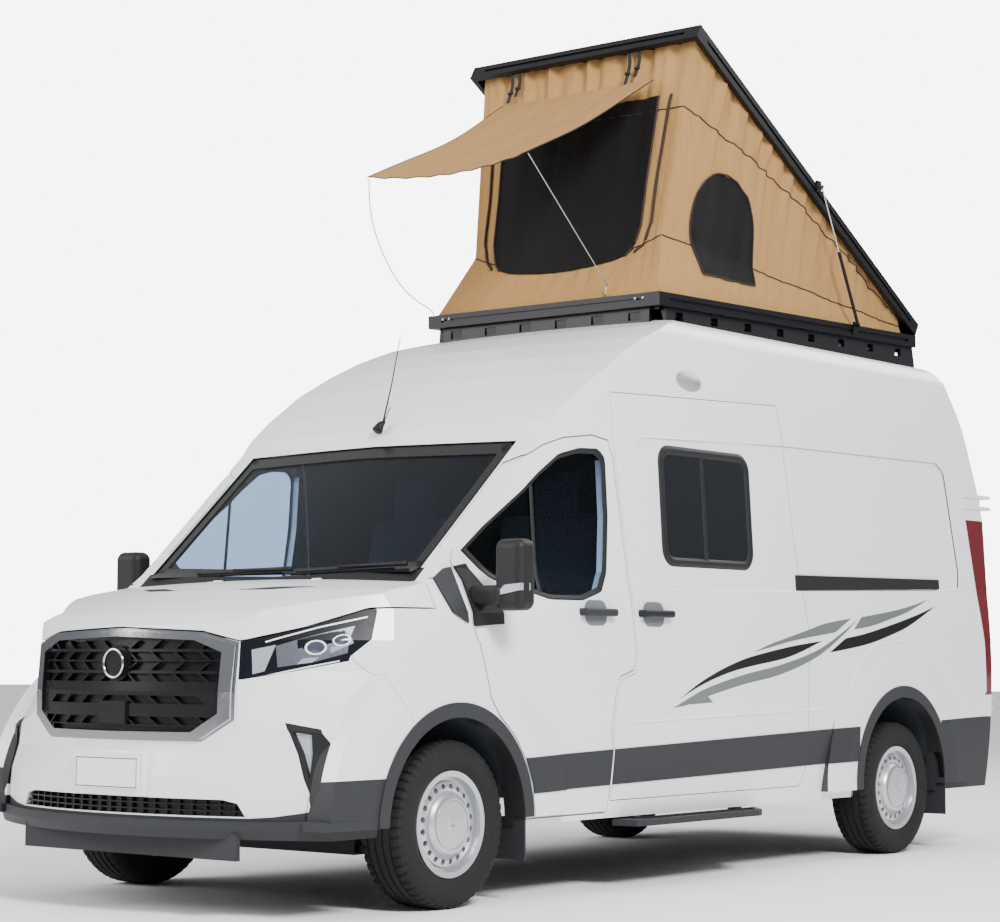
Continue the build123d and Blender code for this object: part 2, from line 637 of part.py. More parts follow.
mesh += [
    prism_y([(x - 3, 380), (x + 3, 380), (x + 3, 500), (x - 3, 500)], nose_from, front - 760)
    for x in range(-600, 601, 60)
]
mesh_layer = nose_behind(12) - nose_behind(30)
mesh_back = (nose_behind(28) - nose_core) & intake_inset
mesh_bars = mesh_layer & (fuse_all(mesh) & intake_inset)
lower_grille = joined(fuse_all([*mesh_back.solids(), *mesh_bars.solids()]))
lower_grille = largest(fuse_cut(lower_grille, [parts["bumper_valance"]]))
parts["grille"] = Compound([grille, badge, lower_grille])
parts["licence_plate"] = block(
    -PLATE_HALF_WIDTH, PLATE_HALF_WIDTH, PLATE_FACE_Y - 10, PLATE_FACE_Y, PLATE_LOW_Z, PLATE_HIGH_Z
)

# ---------------------------------------------------------------- tail lamps and rear bumper
tail_cut = prism_x(TAIL_LAMP, TAIL_LAMP_INNER_X, 1200)
tail_lamp = layer & prism_x(inset_outline(TAIL_LAMP, SEAT_GAP), TAIL_LAMP_INNER_X + SEAT_GAP, 1200)
parts["tail_lamps"] = Compound(both_sides(tail_lamp))
for cut in both_sides(tail_cut):
    shell = shell - cut
bumper_prism = prism_x(REAR_BUMPER, -1200, 1200)
rear_skin = shell & bumper_prism
STEP_BACK_Y = front + 4915.0
rear_step = prism_z([(-880, front + 4775), (880, front + 4775), (850, front + 4880), (700, STEP_BACK_Y),
                     (-700, STEP_BACK_Y), (-850, front + 4880)], 380, 560)
rear_bumper = rear_skin.fuse(rear_step)
for trim in trim_cuts:
    rear_bumper = rear_bumper - trim
shell = shell - bumper_prism
parts["rear_bumper"] = joined(rear_bumper)

# ---------------------------------------------------------------- rear door hinges
HINGE_X, HINGE_Y = 905.0, front + 4865.0
HINGE_PIN, HINGE_TUBE, PIN_GAP = 7.0, 15.0, 0.3
hinge_straps = []
for z in (790.0, 1935.0):
    tube = Pos(HINGE_X, HINGE_Y, z) * (Cylinder(HINGE_TUBE, 44) - Cylinder(HINGE_PIN + PIN_GAP, 60))
    strap = block(800, HINGE_X - HINGE_TUBE + 4, HINGE_Y - 22, HINGE_Y - 4, z - 22, z + 22)
    strap = strap.fuse(block(800, 850, front + 4700, HINGE_Y - 4, z - 22, z + 22))
    door_leaf = fuse_cut(tube.fuse(strap - (Pos(HINGE_X, HINGE_Y, z) * Cylinder(HINGE_TUBE - 2, 60))), [skin])
    rear_door = rear_door.fuse(door_leaf)
    pin = Pos(HINGE_X, HINGE_Y, z) * Cylinder(HINGE_PIN, 84)
    leaf = pin
    for end in (-1, 1):
        low = z + end * 32.5 - 9.5
        ear = Pos(HINGE_X, HINGE_Y, low) * Cylinder(HINGE_TUBE, 19, align=UPWARD)
        ear = ear.fuse(block(HINGE_X, 985, HINGE_Y - 12, HINGE_Y + 6, low, low + 19))
        ear = ear.fuse(block(945, 985, front + 4560, HINGE_Y + 6, low, low + 19))
        leaf = leaf.fuse(ear)
    hinge_straps.append(fuse_cut(leaf, [outer]))
parts["rear_hinges"] = Compound([side for leaf in hinge_straps for side in both_sides(leaf)])
rear_door = joined(rear_door)
parts["rear_door_left"], parts["rear_door_right"] = both_sides(rear_door)

# ---------------------------------------------------------------- bonnet hinges on the cowl
BONNET_HINGE_Y, BONNET_HINGE_Z = front - 105.0, 1374.0
BONNET_HINGE_X = 300.0
KNUCKLE_RADIUS, KNUCKLE_PIN = 8.0, 3.0
for x in (-BONNET_HINGE_X, BONNET_HINGE_X):
    axis_place = Pos(x, BONNET_HINGE_Y, BONNET_HINGE_Z) * Rot(0, 90, 0)
    cowl = cowl - axis_place * Cylinder(KNUCKLE_RADIUS + 5.5, 91)
    tongue = block(x - 25, x + 25, BONNET_HINGE_Y - 45, BONNET_HINGE_Y, BONNET_HINGE_Z - 12, BONNET_HINGE_Z)
    bonnet = bonnet.fuse(tongue, axis_place * Cylinder(KNUCKLE_RADIUS, 50))
    bonnet = bonnet - axis_place * Cylinder(KNUCKLE_PIN + SEAT_GAP, 60)
    cowl = cowl.fuse(axis_place * Cylinder(KNUCKLE_PIN, 112))
parts["bonnet"] = joined(bonnet)
parts["cowl"] = joined(cowl)
parts["front_door_left"], parts["front_door_right"] = both_sides(front_door)
parts["front_door_glass_left"], parts["front_door_glass_right"] = both_sides(door_glass)
parts["sliding_door"] = joined(sliding_door)
parts["side_window"] = side_window
parts["body_shell"] = joined(shell)
parts["front_wings"] = Compound(front_wing_pair)

# ---------------------------------------------------------------- side bands, rail and handles
band = proud_of(outer, SIDE_BAND, BAND_HEIGHT, 900.0)
for centre in (FRONT_ARCH, REAR_ARCH):
    band = band - (Pos(0, *centre) * Rot(0, 90, 0) * Cylinder(ARCH_RADIUS + ARCH_TRIM + SEAT_GAP, 2600))
door_band = band & prism_x(inset_outline(FRONT_DOOR, DOOR_GAP), 900, 1200)
door_end_y = front + 1108.0
side_band = band & block(900, 1200, door_end_y, front + 3300, 400, 800)
slide_rail = proud_of(Pos(SEAT_GAP, 0, 0) * outer, SLIDE_RAIL, RAIL_HEIGHT)


def handle(y_from, y_to, z):
    """A pull handle: a bar that stands off the left side on two feet."""
    bar = rounded_block(985, 1066, y_from, y_to, z - 17, z + 17, 12)
    grip = block(900, 1048, y_from + 55, y_to - 55, z - 40, z + 40)
    return fuse_cut(bar, [grip, outer])


door_trim = Compound([*door_band.solids(), handle(front + 830, front + 1075, 1245)])
parts["door_trim_left"], parts["door_trim_right"] = both_sides(door_trim)
parts["slide_gear"] = Compound([joined(slide_rail), handle(front + 1285, front + 1530, 1245)])

# ---------------------------------------------------------------- wheels and axles
def tyre():
    """A 235/65 R16 tyre about the X axis, outer side toward +X."""
    half = TYRE_WIDTH / 2
    outline = [
        (92.4, RIM_RADIUS + SEAT_GAP), (94.4, RIM_LIP_RADIUS + 1), (100, RIM_LIP_RADIUS + 7),
        (half - 6, 250), (half, 288), (half - 4, 318), (half - 18, TYRE_RADIUS - 10),
        (half - 34, TYRE_RADIUS - 2), (0, TYRE_RADIUS),
    ]
    cavity = [(0, TYRE_RADIUS - 18), (84, TYRE_RADIUS - 20), (100, 310), (105, 288), (98, 252), (77, 228),
              (75, RIM_RADIUS + SEAT_GAP)]
    right = revolve(make_face(Plane.XY * Polyline(*outline, *cavity, close=True)), Axis.X, 360)
    return right.fuse(mirror(right, Plane.YZ))


def rim():
    """A pressed steel wheel: lipped barrel, vented disc set to the outside, and a wide centre cap."""
    barrel = [
        (-101, RIM_LIP_RADIUS), (-95, RIM_LIP_RADIUS), (-93, RIM_RADIUS), (-60, RIM_RADIUS - 2), (-40, 182),
        (34, 182), (56, RIM_RADIUS - 2), (93, RIM_RADIUS), (95, RIM_LIP_RADIUS), (101, RIM_LIP_RADIUS),
        (99, RIM_RADIUS - 6), (60, RIM_RADIUS - 10), (38, 175), (-44, 175), (-64, RIM_RADIUS - 10),
        (-99, RIM_RADIUS - 6),
    ]
    disc = [(50, 178), (60, 182), (74, 176), (80, 150), (78, 138), (92, 132), (104, 122), (110, 96),
            (112, 0), (64, 0), (64, 120), (58, 170)]
    shapes = [revolve(make_face(Polyline(*points, close=True)), Axis.X, 360) for points in (barrel, disc)]
    flange = Pos(55, 0, 0) * Rot(0, 90, 0) * (Cylinder(195, 10) - Cylinder(160, 12))
    wheel = shapes[0].fuse(shapes[1].fuse(flange))
    vents = [
        Rot(360 / VENT_COUNT * (index + 0.5), 0, 0) * Pos(70, 0, VENT_CIRCLE_RADIUS - 6) * Rot(0, 90, 0)
        * Cylinder(VENT_HOLE_RADIUS, 60)
        for index in range(VENT_COUNT)
    ]
    return joined(wheel - Compound(vents))


one_tyre, one_rim = tyre(), rim()
for end, axle_y in (("front", FRONT_AXLE_Y), ("rear", REAR_AXLE_Y)):
    for side_name, side in (("left", 1), ("right", -1)):
        place = Pos(side * HALF_TRACK, axle_y, WHEEL_Z)
        for kind, piece in (("tyre", one_tyre), ("rim", one_rim)):
            turned_piece = piece if side == 1 else mirror(piece, Plane.YZ)
            parts[f"{kind}_{end}_{side_name}"] = place * turned_piece

# knuckle: hub carrier with brake disc and stub spindle inside the wheel, on a ball joint
HUB_FACE_X = 64.0
ARM_LOW_Z, ARM_TOP_Z = 215.0, 245.0
BALL_RADIUS = 14.0
CARRIER_HALF_HEIGHT = 95.0
ball_top = WHEEL_Z - CARRIER_HALF_HEIGHT
spindle = HALF_TRACK + HUB_FACE_X - KINGPIN_X - SEAT_GAP
at_wheel = Pos(KINGPIN_X, FRONT_AXLE_Y, WHEEL_Z)
knuckle = at_wheel * Box(60, 100, 2 * CARRIER_HALF_HEIGHT)
knuckle = knuckle.fuse(at_wheel * Rot(0, 90, 0) * Cylinder(52, spindle, align=UPWARD))
knuckle = knuckle.fuse(at_wheel * Pos(46, 0, 0) * Rot(0, 90, 0) * Cylinder(148, 28))
stud_height = ball_top - ARM_TOP_Z + 30
ball_stud = Pos(KINGPIN_X, FRONT_AXLE_Y, ARM_TOP_Z - 5) * Cylinder(BALL_RADIUS, stud_height, align=UPWARD)
socket = Pos(KINGPIN_X, FRONT_AXLE_Y, ball_top - 1) * Cylinder(BALL_RADIUS + SEAT_GAP, 27, align=UPWARD)
knuckle = knuckle - socket
parts["knuckle_front_left"], parts["knuckle_front_right"] = both_sides(knuckle)
brake = Rot(0, 90, 0) * Cylinder(148, 28)
axle = fuse_all([
    Rot(0, 90, 0) * Cylinder(38, 2 * (HALF_TRACK + HUB_FACE_X - SEAT_GAP)),
    Rot(0, 90, 0) * Cylinder(115, 210),
    Pos(HALF_TRACK - 26, 0, 0) * brake,
    Pos(26 - HALF_TRACK, 0, 0) * brake,
])
axle = Pos(0, REAR_AXLE_Y, WHEEL_Z) * axle
parts["rear_axle"] = axle
springs = []
LEAF_X = 560.0
for side in (1, -1):
    x = side * LEAF_X
    leaf = prism_x(at_front([
        (3100, 440), (3400, 330), (3620, 282), (3760, 276), (3900, 282), (4120, 330), (4420, 430),
        (4420, 446), (4120, 348), (3900, 300), (3760, 292), (3620, 300), (3400, 348), (3100, 458),
    ]), x - 35, x + 35)
    saddle = block(x - 45, x + 45, REAR_AXLE_Y - 60, REAR_AXLE_Y + 60, 292 - SEAT_GAP, 320)
    hangers = [
        block(x - 30, x + 30, front + y - 20, front + y + 20, 430, FLOOR_Z - FLOOR_THICKNESS)
        for y in (3110, 4410)
    ]
    springs.append(joined(fuse_all([leaf, saddle, *hangers]) - axle))
rails = [
    block(side * RAIL_X - 40, side * RAIL_X + 40, front - 780, front + 4700, 400, FLOOR_Z - FLOOR_THICKNESS)
    for side in (1, -1)
]
arm_plan = [(515, -60), (700, -35), (800, -28), (800, 28), (700, 38), (610, 100), (515, 220)]
arms = both_sides(prism_z([(x, FRONT_AXLE_Y + y) for x, y in arm_plan], ARM_LOW_Z, ARM_TOP_Z).fuse(
    Pos(KINGPIN_X, FRONT_AXLE_Y, ARM_LOW_Z) * Cylinder(28, ARM_TOP_Z - ARM_LOW_Z, align=UPWARD), ball_stud
))
cross = block(-515, 515, FRONT_AXLE_Y - 90, FRONT_AXLE_Y + 230, 205, 290)
posts = [
    block(side * RAIL_X - 30, side * RAIL_X + 30, FRONT_AXLE_Y - 60, FRONT_AXLE_Y + 200, 280, 410)
    for side in (1, -1)
]
parts["engine_block"] = block(-330, 300, front - 700, front - 180, 420, 1120)
mounts = [
    block(a, b, front - 500, front - 400, 430, 490)
    for a, b in ((300 + SEAT_GAP, RAIL_X), (-RAIL_X, -330 - SEAT_GAP))
]
rail_ends = block(-515, 515, front + 4640, front + 4700, 400, FLOOR_Z - FLOOR_THICKNESS)
cross_members = [
    block(-RAIL_X, RAIL_X, front + y, front + y + 60, 430, FLOOR_Z - FLOOR_THICKNESS)
    for y in (900, 2000, 3000)
]
parts["chassis"] = fuse_all([*rails, cross, *arms, *posts, *mounts, rail_ends, *cross_members])

# ---------------------------------------------------------------- floor and wheel houses
floor = block(
    -SILL_INNER_X, SILL_INNER_X, FIREWALL_Y, front + 4760, FLOOR_Z - FLOOR_THICKNESS + SEAT_GAP, FLOOR_Z
)
body_pieces = [parts["body_shell"], *front_wing_pair, parts["rear_bumper"], parts["tail_lamps"]]
floor = fuse_cut(floor, [*housings, *body_pieces])
firewall = inner & block(
    -SILL_INNER_X, SILL_INNER_X, FIREWALL_Y - 40, FIREWALL_Y, FLOOR_Z - FLOOR_THICKNESS + SEAT_GAP, 1330
)
firewall = fuse_cut(firewall, [*housings, *body_pieces])
above_floor = block(-1200, 1200, front - 1000, 3000, FLOOR_Z - FLOOR_THICKNESS, 2000)
neighbours = [*body_pieces, parts["front_bumper"], parts["front_door_left"], parts["front_door_right"]]
houses = [fuse_cut(house & above_floor, neighbours) for house in housing_shells]
parts["floor_pan"] = joined(fuse_all([floor, firewall, *houses]))
struts = []
for side in (1, -1):
    foot = Pos(side * STRUT_TOWER_X, FRONT_AXLE_Y, ARM_TOP_Z + SEAT_GAP)
    post = foot * Cylinder(26, FRONT_ARCH[1] + ARCH_RADIUS - ARM_TOP_Z - 1, align=UPWARD)
    coil = Pos(side * STRUT_TOWER_X, FRONT_AXLE_Y, 560) * Cylinder(42, 190, align=UPWARD)
    struts.append(fuse_cut(post.fuse(coil), [parts["floor_pan"]]))
parts["suspension"] = Compound([*springs, *struts])

# ---------------------------------------------------------------- cab fittings
dashboard = prism_x(at_front([
    (-40, 830), (-40, 1325), (60, 1375), (330, 1330), (430, 1230), (420, 1020), (330, 900), (200, 830),
]), -880, 880)
dashboard = dashboard & inner & block(-1200, 1200, FIREWALL_Y + 10, 0, 600, 1500)
dashboard = fuse_cut(dashboard, [parts["body_shell"], *front_wing_pair, parts["cowl"]])
STEER_X = -420.0
STEER_RAKE = -28.0
steering_place = Pos(STEER_X, front + 560, 1240) * Rot(STEER_RAKE, 0, 0)
rim_ring = Torus(190, 14).fuse(Cylinder(60, 30), Box(360, 34, 18), Pos(0, -90, 0) * Box(34, 180, 18))
DOWNWARD = (Align.CENTER, Align.CENTER, Align.MAX)
column = steering_place * Pos(0, 0, -15 - SEAT_GAP) * Cylinder(24, 240, align=DOWNWARD)
parts["steering_wheel"] = steering_place * rim_ring
parts["dashboard"] = joined(dashboard.fuse(column))
HEADREST_HALF = 130.0
seats = []
for x_from, x_to in ((-680, -180), (150, 780)):
    base = block(x_from + 60, x_to - 60, front + 900, front + 1300, FLOOR_Z, 880)
    cushion = rounded_block(x_from, x_to, front + 780, front + 1340, 860, 1010, 40)
    back = prism_x(at_front([(1230, 1000), (1360, 1000), (1480, 1700), (1380, 1720)]), x_from, x_to)
    middle = (x_from + x_to) / 2
    head_outline = at_front([(1390, 1690), (1470, 1690), (1500, 1920), (1410, 1930)])
    head = prism_x(head_outline, middle - HEADREST_HALF, middle + HEADREST_HALF)
    seats.append(fuse_all([base, cushion, back, head]))
parts["seats"] = Compound(seats)

# ---------------------------------------------------------------- mirrors
MIRROR_PROUD = 12.0
base = proud_of(outer, MIRROR_BASE, MIRROR_PROUD, 800.0)
wing_base = base & prism_x(at_front([(-400, 1100), (62, 1100), (62, 1500), (-400, 1500)]), 700, 1200)
wing_base = wing_base & prism_x(wing_edge, 700, 1200)
door_base = base & prism_x(inset_outline(FRONT_DOOR, DOOR_GAP + 1), 700, 1200)
arm = rounded_block(960, 1130, front + 112, front + 205, 1262, 1345, 24)
head = rounded_block(1085, 1240, front + 128, front + 242, 1238, 1540, 40)
mirror_whole = door_base.fuse(fuse_cut(arm.fuse(head), [outer]))
parts["mirror_left"], parts["mirror_right"] = both_sides(joined(mirror_whole))

# ---------------------------------------------------------------- side step and mud flaps
STEP_X = 1095.0
step_plan = [
    (955, 1170), (STEP_X - 20, 1196), (STEP_X, 1260), (STEP_X, 2190), (STEP_X - 20, 2250), (955, 2370),
]
step = prism_z([(x, front + y) for x, y in step_plan], 283, 312)
step_tread = [(975, 1230), (1070, 1250), (1070, 2200), (975, 2300)]
step = step - prism_z([(x, front + y) for x, y in step_tread], 303, 320)
ribs = [block(970, 1075, front + y, front + y + 10, 296, 312) for y in range(1290, 2200, 70)]
brackets = [block(940, 990, front + y, front + y + 50, 295, SILL_Z - SEAT_GAP) for y in (1300, 2150)]
parts["side_step"] = joined(fuse_all([step, *ribs, *brackets]))
flaps = []
for y, low_z in ((front + 419, 178), (front + 4190, 190)):
    flaps += both_sides(block(TRIM_X - 176, TRIM_X - 12, y, y + 9, low_z, ARCH_FOOT_Z - SEAT_GAP))
flaps = [fuse_cut(flap, [parts["body_shell"], parts["rear_bumper"]]) for flap in flaps]
side_trims = []
for trim in (side_band, wing_base):
    for half_trim in both_sides(trim):
        side_trims += half_trim.solids()
parts["side_trims"] = Compound([*side_trims, *flaps])

# ---------------------------------------------------------------- roof rack
tent_place = Pos(0, TENT_FRONT_Y, TENT_BASE_Z) * Rot(TENT_LEAN, 0, 0)
RACK_WALL = 4.0
RACK_LEAN = 14.0  # how much wider the rack stands at its foot
RACK_DEPTH = 130.0
SLOT_LENGTH, SLOT_LOW, SLOT_TOP = 74.0, -62.0, -20.0
side_y_from, side_y_to = 75.0, TENT_LENGTH - 12
half = TENT_HALF_WIDTH - 18
lean_profile = [
    (half, -SEAT_GAP), (half + RACK_LEAN, -RACK_DEPTH), (half + RACK_LEAN - RACK_WALL, -RACK_DEPTH),
    (half - 30, -8 - RACK_WALL), (half - 30, -SEAT_GAP),
]
side_plate = prism_y(lean_profile, side_y_from, side_y_to)
slot_ends = (190.0, TENT_LENGTH - 190.0)
SIDE_SLOTS, FRONT_SLOTS = 8, 6
for index in range(SIDE_SLOTS):
    y = slot_ends[0] + (slot_ends[1] - slot_ends[0]) * index / (SIDE_SLOTS - 1)
    slot = [(y - 37, SLOT_LOW), (y + 30, SLOT_LOW), (y + 37, SLOT_TOP), (y - 24, SLOT_TOP)]
    side_plate = side_plate - prism_x(slot, half - 20, half + 40)
front_half = half - 62
front_plate = prism_x([(30, -SEAT_GAP), (30 - RACK_LEAN, -RACK_DEPTH), (34 - RACK_LEAN, -RACK_DEPTH),
                       (60, -8 - RACK_WALL), (60, -SEAT_GAP)], -front_half, front_half)
for index in range(FRONT_SLOTS):
    x = -front_half + 90 + (2 * front_half - 180) * index / (FRONT_SLOTS - 1)
    front_plate = front_plate - block(x - SLOT_LENGTH / 2, x + SLOT_LENGTH / 2, -20, 34, SLOT_LOW, SLOT_TOP)
BAR_THICKNESS = 13.0
cross_bars = [
    block(-half + 20, half - 20, y, y + 40, -BAR_THICKNESS, -SEAT_GAP)
    for y in (50, 620, 1240, 1860, TENT_LENGTH - 70)
]
rack = fuse_all([*both_sides(side_plate), front_plate, *cross_bars])
parts["roof_rack"] = largest(fuse_cut(tent_place * rack, [outer]))

# ---------------------------------------------------------------- roof tent
TRAY_WALL = 30.0
TRAY_FLOOR = 12.0
GROOVE = 9.0


def tent_frame(height, low, high):
    """A rim of box extrusion with a groove round it, between two heights, with corner castings."""
    rim_block = block(-TENT_HALF_WIDTH, TENT_HALF_WIDTH, 0, TENT_LENGTH, low, high)
    middle = (low + high) / 2
    groove = block(-TENT_HALF_WIDTH - 5, TENT_HALF_WIDTH + 5, -5, TENT_LENGTH + 5, middle - 8, middle + 8)
    groove = groove - block(-TENT_HALF_WIDTH + GROOVE, TENT_HALF_WIDTH - GROOVE, GROOVE, TENT_LENGTH - GROOVE,
                            middle - 20, middle + 20)
    castings = [
        block(x - 45, x + 45, y - 45, y + 45, low + 3, high - 3)
        for x in (-TENT_HALF_WIDTH + 45, TENT_HALF_WIDTH - 45) for y in (45, TENT_LENGTH - 45)
    ]
    return fuse_all([rim_block - groove, *castings])


inner_box = (-TENT_HALF_WIDTH + TRAY_WALL, TENT_HALF_WIDTH - TRAY_WALL, TRAY_WALL, TENT_LENGTH - TRAY_WALL)
tray = tent_frame(TENT_BASE_HEIGHT, 0, TENT_BASE_HEIGHT) - block(*inner_box, TRAY_FLOOR, TENT_BASE_HEIGHT + 1)
HINGE_LOCAL = (TENT_LENGTH - 10, TENT_BASE_HEIGHT + 6)
HINGE_KNUCKLE = 5.0
hinge_place = tent_place * Pos(0, *HINGE_LOCAL)
lid_place = hinge_place * Rot(-LID_OPEN, 0, 0)
lid = tent_frame(LID_HEIGHT, 0, LID_HEIGHT) - block(*inner_box, -1, LID_HEIGHT - 14)
lid = Pos(0, -HINGE_LOCAL[0], 0) * lid
hinge_world = hinge_place.position
lid_angle = radians(LID_OPEN - TENT_LEAN)


def lid_point(back_from_hinge, up):
    """A point on the open lid's plane, in the van's frame, as (y, z)."""
    return (
        hinge_world.Y - back_from_hinge * cos(lid_angle) + up * sin(lid_angle),
        hinge_world.Z + back_from_hinge * sin(lid_angle) + up * cos(lid_angle),
    )


def tray_point(from_front, up):
    """A point over the tray's underside, in the van's frame, as (y, z)."""
    place = tent_place * Pos(0, from_front, up)
    return (place.position.Y, place.position.Z)


CANVAS_HALF = TENT_HALF_WIDTH - TRAY_WALL - SEAT_GAP
canvas_outline = [
    tray_point(TRAY_WALL + SEAT_GAP, TRAY_FLOOR + SEAT_GAP),
    tray_point(TENT_LENGTH - 170, TRAY_FLOOR + SEAT_GAP),
    lid_point(190, 18),
    lid_point(TENT_LENGTH - TRAY_WALL - 12, 18),
]
wedge = prism_x(canvas_outline, -CANVAS_HALF, CANVAS_HALF)
hollow = inset_outline(canvas_outline, CANVAS)
hollow = [
    (hollow[0][0], hollow[0][1] - 30), (hollow[1][0] + 60, hollow[1][1] - 30),
    (hollow[2][0] + 60, hollow[2][1] + 30), (hollow[3][0], hollow[3][1] + 30),
]
wedge_in = prism_x(hollow, -CANVAS_HALF + CANVAS, CANVAS_HALF - CANVAS)
parts["tent_canvas"] = wedge - wedge_in
AWNING_ROOT = (front + 2300, 4035)
AWNING_TIP = (front + 1111, 3425)
awning_line = [
    AWNING_ROOT, AWNING_TIP,
    (AWNING_TIP[0], AWNING_TIP[1] + CANVAS), (AWNING_ROOT[0], AWNING_ROOT[1] + CANVAS),
]
AWNING_HALF = 505.0
awning = prism_x(awning_line, -AWNING_HALF, AWNING_HALF) - (Pos(0, -SEAT_GAP, 0) * wedge)
parts["tent_awning"] = joined(awning)

# ---------------------------------------------------------------- gas struts and their brackets
STRUT_X = TENT_HALF_WIDTH + 22.0
STRUT_FOOT = (front + 3764, 2873)
STRUT_EYE = (front + 3388, 3587)
STRUT_PIN = 4.0
BRACKET = 6.0
BRACKET_LENGTH = 48.0
LID_PASSING = 1.5  # the lid's rim passes the tray's brackets this far off
PIN_END_X = TENT_HALF_WIDTH + 34.0
strut_length = hypot(STRUT_EYE[0] - STRUT_FOOT[0], STRUT_EYE[1] - STRUT_FOOT[1])
strut_tilt = degrees(atan2(STRUT_FOOT[0] - STRUT_EYE[0], STRUT_EYE[1] - STRUT_FOOT[1]))
strut_place = Pos(STRUT_X, *STRUT_FOOT) * Rot(strut_tilt, 0, 0)
BARREL_LENGTH = 420.0
ROD_FOOT = 300.0
barrel = Rot(0, 90, 0) * Cylinder(12, 12)
barrel = barrel.fuse(Pos(0, 0, 10) * Cylinder(9, BARREL_LENGTH, align=UPWARD))
barrel = barrel - Pos(0, 0, 60) * Cylinder(5.5, strut_length, align=UPWARD)
barrel = barrel - Rot(0, 90, 0) * Cylinder(STRUT_PIN + SEAT_GAP, 20)
rod = Pos(0, 0, ROD_FOOT) * Cylinder(4.5, strut_length - ROD_FOOT - 4, align=UPWARD)
rod = rod.fuse(Pos(0, 0, strut_length) * Rot(0, 90, 0) * Cylinder(11, 10))
rod = rod - Pos(0, 0, strut_length) * Rot(0, 90, 0) * Cylinder(STRUT_PIN + SEAT_GAP, 20)
parts["strut_barrel_left"], parts["strut_barrel_right"] = both_sides(strut_place * barrel)
parts["strut_rod_left"], parts["strut_rod_right"] = both_sides(strut_place * rod)


def strut_bracket(pivot, low_z, high_z, welded_to_z):
    """A plate on the left of the tray or lid, welded on up to a height, and its strut's pin."""
    rear_y, front_y = pivot[0] + BRACKET_LENGTH / 2, pivot[0] - BRACKET_LENGTH / 2
    outer_x = TENT_HALF_WIDTH + BRACKET
    plate = block(TENT_HALF_WIDTH + LID_PASSING, outer_x, front_y, rear_y, low_z, high_z)
    weld = block(TENT_HALF_WIDTH - 4, outer_x, front_y, rear_y, low_z, welded_to_z)
    pin_x = TENT_HALF_WIDTH + LID_PASSING + 0.5
    pin = Pos(pin_x, *pivot) * Rot(0, 90, 0) * Cylinder(STRUT_PIN, PIN_END_X - pin_x, align=UPWARD)
    return plate.fuse(weld, pin)


tray = tent_place * tray
for bracket in both_sides(strut_bracket(STRUT_FOOT, 2825, 2892, 2866)):
    tray = tray.fuse(bracket)
lid = lid_place * lid
for bracket in both_sides(strut_bracket(STRUT_EYE, 3560, 3622, 3622)):
    lid = lid.fuse(bracket)
for x in (-500.0, 500.0):
    lid = lid.fuse(hinge_place * Pos(x, 0, 0) * Rot(0, 90, 0) * Cylinder(HINGE_KNUCKLE, 60))
parts["tent_tray"] = joined(tray)
parts["tent_lid"] = joined(lid)

# ---------------------------------------------------------------- slack guy cord of the awning
GUY_RADIUS = 3.0
guy_end_z = tray_point(12, TENT_BASE_HEIGHT)[1] + SEAT_GAP
guy_route = [
    (-499, front + 1118, AWNING_TIP[1] - SEAT_GAP), (-503, front + 1122, 3370), (-512, front + 1140, 3290),
    (-525, front + 1176, 3205), (-546, front + 1262, 3095), (-575, front + 1380, 2996),
    (-610, front + 1515, 2926), (-645, front + 1660, 2885), (-685, front + 1810, 2866),
    (-714, front + 1882, guy_end_z + 20), (-714, front + 1882, guy_end_z),
]
route = FilletPolyline(*guy_route, radius=8)
parts["guy_cord"] = sweep(Plane(route @ 0, z_dir=route % 0) * Circle(GUY_RADIUS), path=route)

os.makedirs("parts", exist_ok=True)
for name, shape in parts.items():
    export_step(joined(shape), f"parts/{name}.step")
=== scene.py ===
from math import cos, pi, radians, sin

import bpy
from mathutils import Matrix, Vector
from mathutils.bvhtree import BVHTree


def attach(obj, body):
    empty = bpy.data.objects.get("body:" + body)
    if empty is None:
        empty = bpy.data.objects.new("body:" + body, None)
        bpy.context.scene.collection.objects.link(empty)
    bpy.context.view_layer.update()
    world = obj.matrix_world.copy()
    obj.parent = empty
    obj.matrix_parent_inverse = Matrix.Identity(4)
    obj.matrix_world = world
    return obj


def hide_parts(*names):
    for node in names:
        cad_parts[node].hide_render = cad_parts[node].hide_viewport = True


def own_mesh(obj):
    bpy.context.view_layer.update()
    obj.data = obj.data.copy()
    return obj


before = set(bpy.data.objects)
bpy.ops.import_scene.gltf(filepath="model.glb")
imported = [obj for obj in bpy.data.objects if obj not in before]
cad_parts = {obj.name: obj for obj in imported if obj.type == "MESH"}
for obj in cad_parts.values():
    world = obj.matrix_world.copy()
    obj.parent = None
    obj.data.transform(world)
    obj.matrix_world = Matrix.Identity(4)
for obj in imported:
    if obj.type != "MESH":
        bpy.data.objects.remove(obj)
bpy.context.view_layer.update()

# Camera: on a low stand off the van's left front corner, looking slightly up.
# A medium long lens keeps the edges of the tall body near parallel.
CAMERA_PLACE = (7.398, -9.744, 1.046)
CAMERA_YAW, CAMERA_PITCH, CAMERA_ROLL = radians(38.375), radians(4.64), radians(0.17)
CAMERA_SENSOR, CAMERA_LENS, CAMERA_REACH = 36.0, 86.72, 200.0
camera = bpy.data.objects.new("camera", bpy.data.cameras.new("camera"))
camera.data.sensor_width = CAMERA_SENSOR
camera.data.lens = CAMERA_LENS
camera.data.clip_end = CAMERA_REACH
camera.location = CAMERA_PLACE
camera.rotation_euler = (
    Matrix.Rotation(CAMERA_YAW, 3, "Z")
    @ Matrix.Rotation(radians(90) + CAMERA_PITCH, 3, "X")
    @ Matrix.Rotation(CAMERA_ROLL, 3, "Z")
).to_euler()
bpy.context.collection.objects.link(camera)
bpy.context.scene.camera = camera

